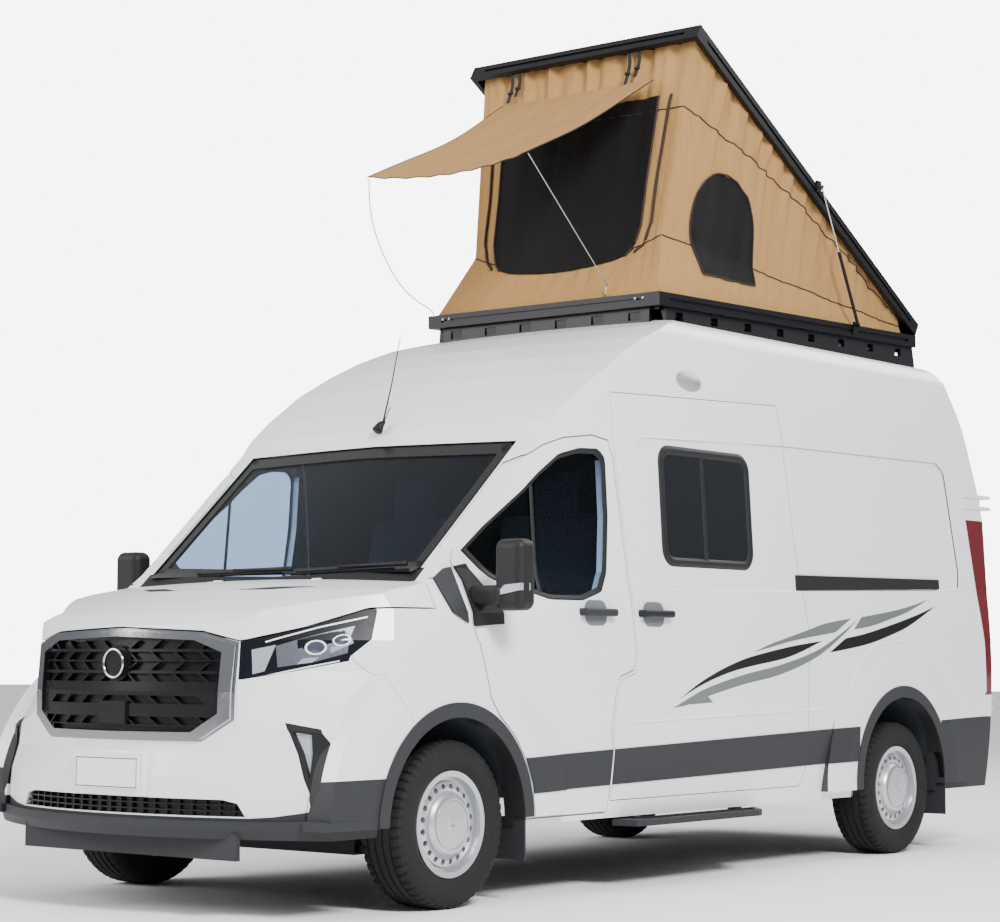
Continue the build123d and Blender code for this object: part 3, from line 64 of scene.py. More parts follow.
# Studio: a pale painted floor that runs far back, and three large soft lights over the van.
# The sky is white behind it, but grey low down where lacquer and glass mirror it.
FLOOR_HALF = 60
FLOOR_WHITE, FLOOR_ROUGHNESS = (0.93, 0.93, 0.93, 1), 0.85
# name, place, aim, diameter, watts
STUDIO_LIGHTS = (
    ("key_light", (10.0, -6.0, 9.0), (0.0, -0.5, 1.2), 3.5, 2600.0),
    ("fill_light", (-7.0, -10.0, 6.0), (0.0, -1.0, 1.2), 7.0, 1100.0),
    ("back_light", (2.0, 9.0, 9.0), (0.0, 0.0, 2.0), 7.0, 700.0),
)
SKY_LOW, SKY_HIGH = (0.16, 0.17, 0.19, 1), (1, 1, 1, 1)
SKY_LOW_END, SKY_HIGH_START = 0.02, 0.75
SKY_SEEN = (7.0, 7.0, 7.0, 1)
SKY_SHARE_THROUGH_GLASS = 0.36
studio_floor = bpy.data.objects.new("studio_floor", bpy.data.meshes.new("studio_floor"))
floor_corners = [(x * FLOOR_HALF, y * FLOOR_HALF, 0) for x, y in ((-1, -1), (1, -1), (1, 1), (-1, 1))]
studio_floor.data.from_pydata(floor_corners, [], [(0, 1, 2, 3)])
bpy.context.collection.objects.link(studio_floor)
floor_paint = bpy.data.materials.new("studio_floor_paint")
floor_paint.use_nodes = True
floor_shader = floor_paint.node_tree.nodes["Principled BSDF"]
floor_shader.inputs["Base Color"].default_value = FLOOR_WHITE
floor_shader.inputs["Roughness"].default_value = FLOOR_ROUGHNESS
studio_floor.data.materials.append(floor_paint)
for name, place, aim, diameter, watts in STUDIO_LIGHTS:
    light = bpy.data.objects.new(name, bpy.data.lights.new(name, "AREA"))
    light.data.shape = "DISK"
    light.data.size = diameter
    light.data.energy = watts
    light.location = place
    light.rotation_euler = (Vector(aim) - Vector(place)).to_track_quat("-Z", "Y").to_euler()
    bpy.context.collection.objects.link(light)
studio_sky = bpy.data.worlds.new("studio_sky")
studio_sky.use_nodes = True
sky_nodes, sky_links = studio_sky.node_tree.nodes, studio_sky.node_tree.links
sky_place = sky_nodes.new("ShaderNodeTexCoord")
sky_height = sky_nodes.new("ShaderNodeSeparateXYZ")
sky_ramp = sky_nodes.new("ShaderNodeValToRGB")
low_end, high_start = sky_ramp.color_ramp.elements
low_end.position, low_end.color = SKY_LOW_END, SKY_LOW
high_start.position, high_start.color = SKY_HIGH_START, SKY_HIGH
sky_white = sky_nodes.new("ShaderNodeMix")
sky_white.data_type = "RGBA"
sky_white.inputs["B"].default_value = SKY_SEEN
sky_seen = sky_nodes.new("ShaderNodeLightPath")
sky_share = sky_nodes.new("ShaderNodeMath")
sky_share.operation = "MULTIPLY_ADD"
sky_share.use_clamp = True
sky_share.inputs[1].default_value = SKY_SHARE_THROUGH_GLASS
sky_links.new(sky_place.outputs["Generated"], sky_height.inputs["Vector"])
sky_links.new(sky_height.outputs["Z"], sky_ramp.inputs["Fac"])
sky_links.new(sky_ramp.outputs["Color"], sky_white.inputs["A"])
sky_links.new(sky_seen.outputs["Is Transmission Ray"], sky_share.inputs[0])
sky_links.new(sky_seen.outputs["Is Camera Ray"], sky_share.inputs[2])
sky_links.new(sky_share.outputs["Value"], sky_white.inputs["Factor"])
sky_links.new(sky_white.outputs["Result"], sky_nodes["Background"].inputs["Color"])
sky_nodes["Background"].inputs["Strength"].default_value = 1.0
bpy.context.scene.world = studio_sky

# Body panels: pressed steel welded into one shell, filled, primed and sprayed gloss white.
# A clear lacquer lies over the white. Doors, bonnet, wings and the front bumper match it.
WHITE = (0.80, 0.81, 0.82)
LACQUER = {"Coat Weight": 0.35, "Coat Roughness": 0.30}
DARK_BELOW, MATT_ABOVE, MATT_MIRROR = 0.05, 0.2, 0.25
GRAIN_DETAIL, GRAIN_DEPTH = 6.0, 0.002


def new_finish(name, colour, roughness, texture, metallic=0.0, extra=None):
    """A finish of one colour with a fine texture: its noise scale, its bump and its range of roughness.

    Dark matt plastic mirrors less than lacquer. Further sockets are set by name.
    """
    finish = bpy.data.materials.new(name)
    finish.use_nodes = True
    tree = finish.node_tree
    shader = tree.nodes["Principled BSDF"]
    shader.inputs["Base Color"].default_value = (*colour, 1)
    shader.inputs["Roughness"].default_value = roughness
    shader.inputs["Metallic"].default_value = metallic
    if not metallic and max(colour) < DARK_BELOW and roughness > MATT_ABOVE:
        shader.inputs["Specular IOR Level"].default_value = MATT_MIRROR
    for socket, value in (extra or {}).items():
        shader.inputs[socket].default_value = value
    scale, bump, rough_range = texture
    place = tree.nodes.new("ShaderNodeTexCoord")
    noise = tree.nodes.new("ShaderNodeTexNoise")
    noise.inputs["Scale"].default_value = scale
    noise.inputs["Detail"].default_value = GRAIN_DETAIL
    tree.links.new(place.outputs["Object"], noise.inputs["Vector"])
    if bump:
        relief = tree.nodes.new("ShaderNodeBump")
        relief.inputs["Strength"].default_value = bump
        relief.inputs["Distance"].default_value = GRAIN_DEPTH
        tree.links.new(noise.outputs["Fac"], relief.inputs["Height"])
        tree.links.new(relief.outputs["Normal"], shader.inputs["Normal"])
    spread = tree.nodes.new("ShaderNodeMapRange")
    spread.inputs["To Min"].default_value, spread.inputs["To Max"].default_value = rough_range
    tree.links.new(noise.outputs["Fac"], spread.inputs["Value"])
    tree.links.new(spread.outputs["Result"], shader.inputs["Roughness"])
    return finish


def finish_nodes(finish, *nodes):
    """Gives CAD nodes a finish in every material slot."""
    for node in nodes:
        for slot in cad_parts[node].material_slots:
            slot.material = finish


plain_white, white_paint = (
    new_finish(name, WHITE, 0.22, (3.0, 0.0, (0.2, 0.3)), extra=LACQUER)
    for name in ("white_paint_plain", "white_paint")
)
finish_nodes(plain_white, "bonnet", "rear_door_left", "rear_door_right", "rear_hinges", "front_bumper")
finish_nodes(white_paint, "body_shell", "front_wings", "front_door_left", "front_door_right",
             "sliding_door")

# Painted shade: the white paint turns near black where a face looks into the shell, as painted shade of the
# dark interior.
# Near each wheel arch the same dark is partly the arch's dark plastic liner and partly painted shade.
# Near-black colour: painted shade inside the shell, and the liner's dark with its painted shade in the
# arches.
PAINTED_SHADE_AND_LINER = (0.020, 0.020, 0.021, 1)
SHELL_MIDDLE, LOOKS_IN_BELOW = (0.0, 0.0, 0.7), -0.02
ARCH_MIDDLES = ((0.0, -1.965, 0.355), (0.0, 1.795, 0.380))
ARCH_REACH = 0.478


def worked_out(kind, operation, first, second):
    """The result of a node that works on an output and on an output or a constant."""
    node = white_paint.node_tree.nodes.new(kind)
    node.operation = operation
    white_paint.node_tree.links.new(first, node.inputs[0])
    if isinstance(second, bpy.types.NodeSocket):
        white_paint.node_tree.links.new(second, node.inputs[1])
    else:
        node.inputs[1].default_value = second
    plain_number = kind == "ShaderNodeMath" or operation in ("DOT_PRODUCT", "LENGTH")
    return node.outputs["Value" if plain_number else "Vector"]


surface = white_paint.node_tree.nodes.new("ShaderNodeNewGeometry")
outward = worked_out("ShaderNodeVectorMath", "SUBTRACT", surface.outputs["Position"], SHELL_MIDDLE)
looks_out = worked_out("ShaderNodeVectorMath", "DOT_PRODUCT", outward, surface.outputs["Normal"])
shade_and_liner_mask = worked_out("ShaderNodeMath", "LESS_THAN", looks_out, LOOKS_IN_BELOW)
for middle in ARCH_MIDDLES:
    from_arch = worked_out("ShaderNodeVectorMath", "SUBTRACT", surface.outputs["Position"], middle)
    from_axis = worked_out("ShaderNodeVectorMath", "MULTIPLY", from_arch, (0.0, 1.0, 1.0))
    distance = worked_out("ShaderNodeVectorMath", "LENGTH", from_axis, (0.0, 0.0, 0.0))
    near = worked_out("ShaderNodeMath", "LESS_THAN", distance, ARCH_REACH)
    shade_and_liner_mask = worked_out("ShaderNodeMath", "MAXIMUM", shade_and_liner_mask, near)
# Mixes the white toward the painted shade and liner colour wherever the mask is set.
white_or_shade_mix = white_paint.node_tree.nodes.new("ShaderNodeMix")
white_or_shade_mix.data_type = "RGBA"
white_or_shade_mix.inputs["A"].default_value = (*WHITE, 1)
white_or_shade_mix.inputs["B"].default_value = PAINTED_SHADE_AND_LINER
white_paint.node_tree.links.new(shade_and_liner_mask, white_or_shade_mix.inputs["Factor"])
white_paint.node_tree.links.new(
    white_or_shade_mix.outputs["Result"], white_paint.node_tree.nodes["Principled BSDF"].inputs["Base Color"]
)

# Inside and under the van: a painted floor, cloth seats, a moulded dashboard and wheel, and
# black chassis paint dulled by road dust. The cab's pieces are bolted to the floor.
floor_grey = new_finish("floor_grey", (0.022, 0.026, 0.034), 0.7, (300.0, 0.2, (0.6, 0.8)))
finish_nodes(floor_grey, "floor_pan")
seat_cloth = new_finish("seat_cloth", (0.022, 0.024, 0.028), 0.85, (900.0, 0.4, (0.8, 0.95)))
finish_nodes(seat_cloth, "seats")
black_trim = new_finish("black_trim", (0.010, 0.010, 0.011), 0.5, (700.0, 0.25, (0.42, 0.6)))
finish_nodes(black_trim, "dashboard", "steering_wheel", "chassis", "suspension", "slide_gear")

# Wheels: pressed steel painted silver, on radial tyres with ribs and cut shoulder blocks.
# The tyre is moulded, so its sidewall is smooth and its tread edges are crisp. The cap is plain.
rubber = new_finish("tyre_rubber", (0.011, 0.011, 0.0115), 0.8, (500.0, 0.3, (0.7, 0.9)))
steel = new_finish("silver_steel", (0.56, 0.57, 0.59), 0.34, (200.0, 0.08, (0.28, 0.42)), 0.8)
SIDES = ((1, "left"), (-1, "right"))
HALF_TRACK, AXLE_HEIGHT = 0.872, 0.350
AXLES = (("front", -1.950), ("rear", 1.810))
TREAD_SEGMENTS, BLOCK_SEGMENTS = 216, 4
# across the tyre from its middle, radius, and depth of the cuts between blocks
HALF_TYRE = (
    (-0.0924, 0.204, 0), (-0.0944, 0.222, 0), (-0.100, 0.228, 0), (-0.112, 0.250, 0),
    (-0.1135, 0.256, 0), (-0.118, 0.288, 0), (-0.1155, 0.312, 0), (-0.112, 0.322, 0.004),
    (-0.100, 0.340, 0.009), (-0.084, 0.3475, 0.009), (-0.064, 0.3490, 0.009), (-0.061, 0.3405, 0),
    (-0.055, 0.3405, 0), (-0.052, 0.3494, 0), (-0.026, 0.3499, 0), (-0.023, 0.3415, 0),
    (-0.017, 0.3415, 0), (-0.014, 0.35, 0),
)
TYRE_OUTLINE = HALF_TYRE + tuple((-x, radius, cut) for x, radius, cut in reversed(HALF_TYRE))
CAP_FACE, CAP_RING_TOP, CAP_RING_HALF, CAP_SEGMENTS = 0.1113, 0.1147, 0.004, 48
CAP_RINGS = (("cap_ring", 0.105), ("cap_hub_ring", 0.030))


def ridden_mesh(name, points, faces, finish, body, smooth=True):
    """A mesh piece from its points and faces, in the row frame, that rides on a body."""
    mesh = bpy.data.meshes.new(name)
    mesh.from_pydata([tuple(point) for point in points], [], faces)
    mesh.materials.append(finish)
    mesh.update()
    for polygon in mesh.polygons:
        polygon.use_smooth = smooth
    piece = bpy.data.objects.new(name, mesh)
    bpy.context.collection.objects.link(piece)
    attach(piece, body)
    return piece


def grid_faces(rows, columns, closed=False):
    """Quads of a grid of points laid out row by row, joined round its columns if closed."""
    last = columns if closed else columns - 1
    return [
        (row * columns + column, row * columns + (column + 1) % columns,
         (row + 1) * columns + (column + 1) % columns, (row + 1) * columns + column)
        for row in range(rows - 1) for column in range(last)
    ]


for end, axle_y in AXLES:
    for sign, side in SIDES:
        wheel = f"wheel_{end}_{side}"
        tread_points = []
        for x, radius, cut in TYRE_OUTLINE:
            for step in range(TREAD_SEGMENTS):
                angle = 2 * pi * step / TREAD_SEGMENTS
                depth = cut if step % BLOCK_SEGMENTS == 0 else 0.0
                tread_points.append((sign * HALF_TRACK + x, axle_y + (radius - depth) * cos(angle),
                                     AXLE_HEIGHT + (radius - depth) * sin(angle)))
        tread = ridden_mesh(f"tyre_tread_{end}_{side}", tread_points,
                            grid_faces(len(TYRE_OUTLINE), TREAD_SEGMENTS, closed=True), rubber,
                            wheel, smooth=False)
        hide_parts(f"tyre_{end}_{side}")
        finish_nodes(rubber, f"tyre_{end}_{side}")
        finish_nodes(steel, f"rim_{end}_{side}")
        hub = Vector((sign * HALF_TRACK, axle_y, AXLE_HEIGHT))
        for name, radius in CAP_RINGS:
            ring_points = []
            for x, ring_radius in ((CAP_FACE, radius - CAP_RING_HALF), (CAP_RING_TOP, radius),
                                   (CAP_FACE, radius + CAP_RING_HALF)):
                for step in range(CAP_SEGMENTS):
                    angle = 2 * pi * step / CAP_SEGMENTS
                    ring_points.append(
                        hub + Vector((sign * x, ring_radius * cos(angle), ring_radius * sin(angle)))
                    )
            ridden_mesh(f"{name}_{end}_{side}", ring_points,
                        grid_faces(3, CAP_SEGMENTS, closed=True), steel, wheel)
finish_nodes(steel, "knuckle_front_left", "knuckle_front_right", "rear_axle", "engine_block")

# Dark trim: arch lips, lower bumper, side bands, step and mud flaps in charcoal moulded plastic.
# The mould leaves a fine leather grain that scatters the light. Clips hold it to the body.
dark_trim = new_finish("dark_trim", (0.024, 0.025, 0.028), 0.6, (900.0, 0.35, (0.5, 0.66)))
finish_nodes(dark_trim, "arch_trims", "rear_bumper", "side_step", "bumper_valance", "side_trims",
             "door_trim_left", "door_trim_right")
finish_nodes(black_trim, "cowl", "fog_bezels")

# Grille: injection moulded in gloss black, behind a chromed frame that clips to the bumper.
# The badge is a bare chromed ring round a plain disc.
gloss_black = new_finish("gloss_black", (0.008, 0.008, 0.009), 0.24, (300.0, 0.06, (0.2, 0.32)))
finish_nodes(gloss_black, "grille")
chrome = new_finish("chrome", (0.60, 0.61, 0.63), 0.12, (40.0, 0.0, (0.08, 0.16)), 1.0)
finish_nodes(chrome, "grille_surround")
BADGE_PLACE = Vector((0.0, -2.950, 1.014))
BADGE_SEGMENTS = 48
# radius, and height off the disc
BADGE_OUTLINE = ((0.062, 0.0), (0.062, 0.006), (0.058, 0.009), (0.053, 0.006), (0.053, 0.0))
badge_points = []
for radius, height in BADGE_OUTLINE:
    for step in range(BADGE_SEGMENTS):
        angle = 2 * pi * step / BADGE_SEGMENTS
        badge_points.append(BADGE_PLACE + Vector((radius * cos(angle), -height, radius * sin(angle))))
ridden_mesh("badge_ring", badge_points, grid_faces(len(BADGE_OUTLINE), BADGE_SEGMENTS, closed=True),
            chrome, "van")

# Headlamps: a clear moulded cover over a chromed reflector with two projectors and a light bar.
# The cover is black along its edges, so only the reflector shows bright. Fog lamps match it.
lamp_black = new_finish("lamp_cover", (0.007, 0.008, 0.011), 0.3, (30.0, 0.0, (0.25, 0.35)),
                        extra={"Specular IOR Level": 0.08})
finish_nodes(lamp_black, "headlamps")
reflector = new_finish("lamp_reflector", (0.46, 0.49, 0.55), 0.2, (90.0, 0.8, (0.12, 0.24)), 0.5)
finish_nodes(reflector, "fog_lamps")
dull_reflector = new_finish("lamp_back", (0.10, 0.11, 0.13), 0.3, (60.0, 0.5, (0.2, 0.4)), 0.3)
bright_bar = new_finish("lamp_bar", (0.80, 0.82, 0.86), 0.25, (60.0, 0.1, (0.2, 0.3)))
lens = new_finish("lamp_lens", (0.045, 0.055, 0.075), 0.04, (20.0, 0.0, (0.03, 0.06)))
FLUSH, PROUD, PATCH_COLUMNS = (0.0010, 0.0010, 0.0010), (0.0016, 0.0018, 0.0016), 12
# name, lower edge and upper edge from the front, finish, how far it stands off the cover
LAMP_PATCHES = (
    ("back", [(0.700, 1.000), (0.80, 1.022), (0.885, 1.058)],
     [(0.690, 1.085), (0.80, 1.135), (0.885, 1.168)], dull_reflector, FLUSH),
    ("inner", [(0.630, 0.972), (0.664, 0.985)], [(0.622, 1.070), (0.690, 1.090)], reflector, FLUSH),
    ("facet_low", [(0.752, 1.012), (0.795, 1.020)], [(0.768, 1.036), (0.812, 1.040)], reflector, PROUD),
    ("facet_high", [(0.842, 1.058), (0.898, 1.098)], [(0.838, 1.078), (0.892, 1.116)], reflector, PROUD),
    ("bar", [(0.661, 1.098), (0.792, 1.158), (0.909, 1.201)],
     [(0.659, 1.104), (0.791, 1.165), (0.909, 1.208)], bright_bar, PROUD),
    ("foot", [(0.650, 0.958), (0.762, 0.992), (0.867, 1.024)],
     [(0.650, 0.963), (0.762, 0.998), (0.867, 1.029)], bright_bar, PROUD),
)
# x, z and radius of each projector
PROJECTORS = ((0.800, 1.080, 0.030), (0.866, 1.110, 0.024))
PROJECTOR_STEPS, LENS_SHARE = 24, 0.8
RING_LIFTS, LENS_LIFTS = (0.0016, 0.004, 0.0016), (0.0016, 0.005, 0.007)
# where the rays of each view start and which way they run
VIEW_RAYS = {
    "left": (Vector((1.6, 0, 0)), Vector((-1, 0, 0))),
    "right": (Vector((-1.6, 0, 0)), Vector((1, 0, 0))),
    "front": (Vector((0, -3.6, 0)), Vector((0, 1, 0))),
    "top": (Vector((0, 0, 3.6)), Vector((0, 0, -1))),
}
SAME_FACE_DEPTH = 0.45


def tree_over(*nodes):
    """A search tree over the faces of CAD nodes, in the row frame, to lay thin pieces on them."""
    points, faces = [], []
    for node in nodes:
        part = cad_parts[node]
        first = len(points)
        points += [part.matrix_world @ vertex.co for vertex in part.data.vertices]
        faces += [[first + index for index in polygon.vertices] for polygon in part.data.polygons]
    return BVHTree.FromPolygons(points, faces)


def along(curve, share):
    """The point at a share of the way along a line of points."""
    lengths = [(Vector(b) - Vector(a)).length for a, b in zip(curve, curve[1:])]
    left = share * sum(lengths)
    for (a, b), length in zip(zip(curve, curve[1:]), lengths):
        if left <= length or b is curve[-1]:
            return Vector(a).lerp(Vector(b), min(1.0, left / length if length else 1.0))
        left -= length


def laid_strip(name, tree, view, edge_a, edge_b, finish, body, lifts, columns):
    """A strip between two lines drawn in a view, laid on the CAD surface and lifted off it.

    A line's points are (y, z) in the left and right views, (x, z) from the front, (x, y) from the
    top. A ray that misses the surface, or meets another far behind it, takes its neighbour's depth.
    """
    start, direction = VIEW_RAYS[view]
    rows = len(lifts)
    points = []
    for row, lift in enumerate(lifts):
        sources, depths = [], []
        for column in range(columns):
            share = column / (columns - 1)
            u, v = along(edge_a, share).lerp(along(edge_b, share), row / (rows - 1))
            source = start + Vector({"front": (u, 0, v), "top": (u, v, 0)}.get(view, (0, u, v)))
            sources.append(source)
            depths.append(tree.ray_cast(source, direction)[3])
        found = [column for column in range(columns) if depths[column] is not None]
        middle = sorted(depths[column] for column in found)[len(found) // 2]
        found = [column for column in found if abs(depths[column] - middle) < SAME_FACE_DEPTH]
        for column, source in enumerate(sources):
            nearest = min(found, key=lambda other: abs(other - column))
            points.append(source + direction * (depths[nearest] - lift))
    return ridden_mesh(name, points, grid_faces(rows, columns), finish, body)


bpy.context.view_layer.update()
lamp_skin = tree_over("headlamps")
for sign, side in SIDES:
    for name, low, high, finish, lifts in LAMP_PATCHES:
        low, high = ([(sign * x, z) for x, z in line] for line in (low, high))
        laid_strip(f"lamp_{name}_{side}", lamp_skin, "front", low, high, finish, "van", lifts,
                   PATCH_COLUMNS)
    for index, (x, z, radius) in enumerate(PROJECTORS):
        x *= sign
        turns = [2 * pi * step / PROJECTOR_STEPS for step in range(PROJECTOR_STEPS + 1)]
        outer_line, inner_line = (
            [(x + size * cos(angle), z + size * sin(angle)) for angle in turns]
            for size in (radius, radius * LENS_SHARE)
        )
        laid_strip(f"lamp_ring_{side}_{index}", lamp_skin, "front", outer_line, inner_line,
                   bright_bar, "van", RING_LIFTS, PROJECTOR_STEPS + 1)
        laid_strip(f"lamp_lens_{side}_{index}", lamp_skin, "front", inner_line,
                   [(x, z)] * (PROJECTOR_STEPS + 1), lens, "van", LENS_LIFTS, PROJECTOR_STEPS + 1)

# Tail lamps: tall red covers of moulded acrylic, screwed into the rear corners.
# They are gloss outside and ribbed within, so they look deep.
red_lens = new_finish("red_lens", (0.11, 0.004, 0.008), 0.12, (80.0, 0.1, (0.1, 0.18)),
                      extra={"Coat Weight": 0.4})
finish_nodes(red_lens, "tail_lamps")

# Glass: laminated screen and toughened side glass, tinted grey-blue and bonded in.
# A black border is printed round the screen to hide the glue.
glass = new_finish("tinted_glass", (0.42, 0.51, 0.63), 0.0, (30.0, 0.0, (0.0, 0.004)),
                   extra={"Transmission Weight": 1.0, "IOR": 1.10})
finish_nodes(glass, "windscreen", "front_door_glass_left", "front_door_glass_right")
# name, outer edge and inner edge from the front
SCREEN_BORDERS = (
    ("top", [(-0.79, 2.000), (0.0, 2.012), (0.79, 2.000)], [(-0.79, 1.945), (0.0, 1.960), (0.79, 1.945)]),
    ("foot", [(-0.80, 1.402), (0.0, 1.402), (0.80, 1.402)], [(-0.80, 1.450), (0.0, 1.425), (0.80, 1.450)]),
    ("left", [(0.800, 1.42), (0.800, 1.99)], [(0.755, 1.42), (0.755, 1.99)]),
    ("right", [(-0.800, 1.42), (-0.800, 1.99)], [(-0.755, 1.42), (-0.755, 1.99)]),
)
PRINT_LIFTS, BORDER_COLUMNS = (0.0008, 0.0008, 0.0008), 40
screen_tree = tree_over("windscreen")
for name, outer_edge, inner_edge in SCREEN_BORDERS:
    laid_strip(f"screen_border_{name}", screen_tree, "front", outer_edge, inner_edge, gloss_black,
               "van", PRINT_LIFTS, BORDER_COLUMNS)

# Side window: a bonded unit of dark glass in the sliding door, in a rounded black frame.
# An upright bar parts the fixed pane from the one that slides.
dark_glass = new_finish("privacy_glass", (0.006, 0.007, 0.009), 0.04, (30.0, 0.0, (0.03, 0.06)))
finish_nodes(dark_glass, "side_window")
CORNER_STEPS = 8


def rounded(y0, y1, z0, z1, radius):
    """A closed rounded rectangle of (y, z) points."""
    line = []
    for corner_y, corner_z, first in (
        (y1 - radius, z1 - radius, 0), (y0 + radius, z1 - radius, 90),
        (y0 + radius, z0 + radius, 180), (y1 - radius, z0 + radius, 270),
    ):
        for step in range(CORNER_STEPS):
            angle = radians(first + 90 * step / (CORNER_STEPS - 1))
            line.append((corner_y + radius * cos(angle), corner_z + radius * sin(angle)))
    return line + [line[0]]


side_tree = tree_over("body_shell", "sliding_door", "side_window", "front_wings", "bonnet")
laid_strip("side_window_frame", side_tree, "left", rounded(-0.428, 0.362, 1.470, 2.046, 0.085),
           rounded(-0.382, 0.316, 1.514, 2.002, 0.05), black_trim, "van",
           (0.0, 0.010, 0.012, 0.010, 0.0), 120)
laid_strip("side_window_bar", side_tree, "left", [(-0.072, 1.51), (-0.072, 2.005)],
           [(-0.042, 1.51), (-0.042, 2.005)], black_trim, "van", (0.0, 0.008, 0.008, 0.0), 8)

# Front doors: a rubber seal runs round the glass, and a light bar stands ahead of its middle.
# The mirrors are black, with a clear indicator let into the shell.
DOOR_GLASS_EDGE = [
    (-1.800, 1.500), (-1.659, 1.607), (-1.410, 1.772), (-1.310, 1.850), (-1.170, 1.942),
    (-1.034, 1.976), (-0.910, 1.980), (-0.868, 1.940), (-0.870, 1.680), (-0.898, 1.430),
    (-0.950, 1.345), (-1.090, 1.305), (-1.310, 1.305), (-1.650, 1.385), (-1.800, 1.500),
]
GLASS_MIDDLE, SEAL_OUT, SEAL_IN = (-1.2, 1.62), -0.030, 0.045
SEAL_LIFTS, SEAL_COLUMNS = (0.0012, 0.003, 0.002, 0.001), 90
LIGHT_BAR_FRONT, LIGHT_BAR_REAR = [(-1.372, 1.33), (-1.365, 1.80)], [(-1.350, 1.33), (-1.343, 1.80)]
LIGHT_BAR_LIFTS, LIGHT_BAR_COLUMNS = (0.0, 0.006, 0.006, 0.0), 8
INDICATOR = (
    (1.100, -1.8235, 1.300), (1.232, -1.8235, 1.322), (1.232, -1.8235, 1.352),
    (1.150, -1.8235, 1.345), (1.241, -1.76, 1.322), (1.241, -1.76, 1.352),
)
finish_nodes(black_trim, "mirror_left", "mirror_right")


def drawn_in(line, share, centre):
    """A line drawn in toward a centre by a share of the way."""
    return [(y + (centre[0] - y) * share, z + (centre[1] - z) * share) for y, z in line]


for sign, side in SIDES:
    door = f"front_door_{side}"
    door_tree = tree_over(door, f"front_door_glass_{side}")
    laid_strip(f"door_seal_{side}", door_tree, side, drawn_in(DOOR_GLASS_EDGE, SEAL_OUT, GLASS_MIDDLE),
               drawn_in(DOOR_GLASS_EDGE, SEAL_IN, GLASS_MIDDLE), black_trim, door, SEAL_LIFTS,
               SEAL_COLUMNS)
    laid_strip(f"door_light_bar_{side}", door_tree, side, LIGHT_BAR_FRONT, LIGHT_BAR_REAR, black_trim,
               door, LIGHT_BAR_LIFTS, LIGHT_BAR_COLUMNS)
    ridden_mesh(f"mirror_indicator_{side}", [(sign * x, y, z) for x, y, z in INDICATOR],
                [(0, 1, 2, 3), (1, 4, 5, 2)], reflector, door, smooth=False)

# Door handles: a cup pressed into the panel behind each bar, coloured grey as painted shade in its hollow.
# The cup gives the fingers room, and its rim is rolled over.
# The grey is painted shade that stands for the shadow inside the pressed hollow.
cup_painted_shade = new_finish("cup_painted_shade", (0.13, 0.14, 0.155), 0.4, (200.0, 0.05, (0.35, 0.5)))
CUP_HALF, CUP_FOOT, CUP_TOP, CUP_RADIUS, CUP_MIDDLE = 0.085, 1.185, 1.300, 0.045, 1.242
CUP_LIFTS, CUP_COLUMNS = (0.0012, 0.0030, 0.0026, 0.0020), 40
TO_A_POINT = 0.999
# name, surface, view, middle along the van, body
HANDLE_CUPS = (
    ("left_door", tree_over("front_door_left"), "left", -0.998, "front_door_left"),
    ("right_door", tree_over("front_door_right"), "right", -0.998, "front_door_right"),
    ("sliding_door", side_tree, "left", -0.543, "van"),
)
for name, tree, view, middle_y, body in HANDLE_CUPS:
    cup = rounded(middle_y - CUP_HALF, middle_y + CUP_HALF, CUP_FOOT, CUP_TOP, CUP_RADIUS)
    laid_strip(f"handle_cup_{name}", tree, view, cup, drawn_in(cup, TO_A_POINT, (middle_y, CUP_MIDDLE)),
               cup_painted_shade, body, CUP_LIFTS, CUP_COLUMNS)

# Wipers: pressed steel arms in black, sprung on to the screen, each with a rubber blade.
# They lie along the foot of the screen, and both sweep the same way.
# name, pivot and tip (x, z) from the front
WIPERS = (("near", (0.74, 1.428), (0.17, 1.416)), ("far", (0.12, 1.416), (-0.46, 1.418)))
ARM_LIFT, ARM_STEPS, ARM_RADII = 0.022, 8, (0.011, 0.010, 0.008, 0.007, 0.006, 0.006)
BLADE_LIFT, BLADE_STEPS, BLADE_RADIUS = 0.012, 10, 0.007
BLADE_BEHIND, BLADE_SHORTER, BLADE_UP, BLADE_DROP = 0.08, 0.06, 0.002, 0.010
SCREEN_OUTWARD, SCREEN_MISSED_Y = Vector((0, -0.85, 0.5)), -2.05


def round_bar(name, route, radii, finish, body, sides=10):
    """A round bar along a route of points, with one radius or one for each, closed at both ends."""
    route = [Vector(point) for point in route]
    points = []
    for index, here in enumerate(route):
        run = (route[min(index + 1, len(route) - 1)] - route[max(index - 1, 0)]).normalized()
        across = run.cross(Vector((0, 0, 1)) if abs(run.z) < 0.9 else Vector((1, 0, 0))).normalized()
        upward = across.cross(run).normalized()
        radius = radii[index] if hasattr(radii, "__len__") else radii
        for step in range(sides):
            angle = 2 * pi * step / sides
            points.append(here + (across * cos(angle) + upward * sin(angle)) * radius)
    faces = grid_faces(len(route), sides, closed=True)
    faces += [tuple(range(sides))[::-1], tuple((len(route) - 1) * sides + step for step in range(sides))]
    return ridden_mesh(name, points, faces, finish, body)


def on_screen(x, z, lift):
    """A point on the screen's face, lifted off it."""
    start, direction = VIEW_RAYS["front"]
    hit = screen_tree.ray_cast(start + Vector((x, 0, z)), direction)[0]
    return hit + SCREEN_OUTWARD * lift if hit else Vector((x, SCREEN_MISSED_Y, z))


for name, pivot, tip in WIPERS:
    reach_x, reach_z = tip[0] - pivot[0], tip[1] - pivot[1]
    arm = [on_screen(pivot[0] + reach_x * step / ARM_STEPS, pivot[1] + reach_z * step / ARM_STEPS, ARM_LIFT)
           for step in range(len(ARM_RADII))]
    round_bar(f"wiper_arm_{name}", arm, ARM_RADII, black_trim, "van")
    blade = [on_screen(pivot[0] - BLADE_BEHIND + (reach_x + BLADE_SHORTER) * step / BLADE_STEPS,
                       pivot[1] + BLADE_UP + (reach_z - BLADE_DROP) * step / BLADE_STEPS, BLADE_LIFT)
             for step in range(BLADE_STEPS + 1)]
    round_bar(f"wiper_blade_{name}", blade, BLADE_RADIUS, black_trim, "van")

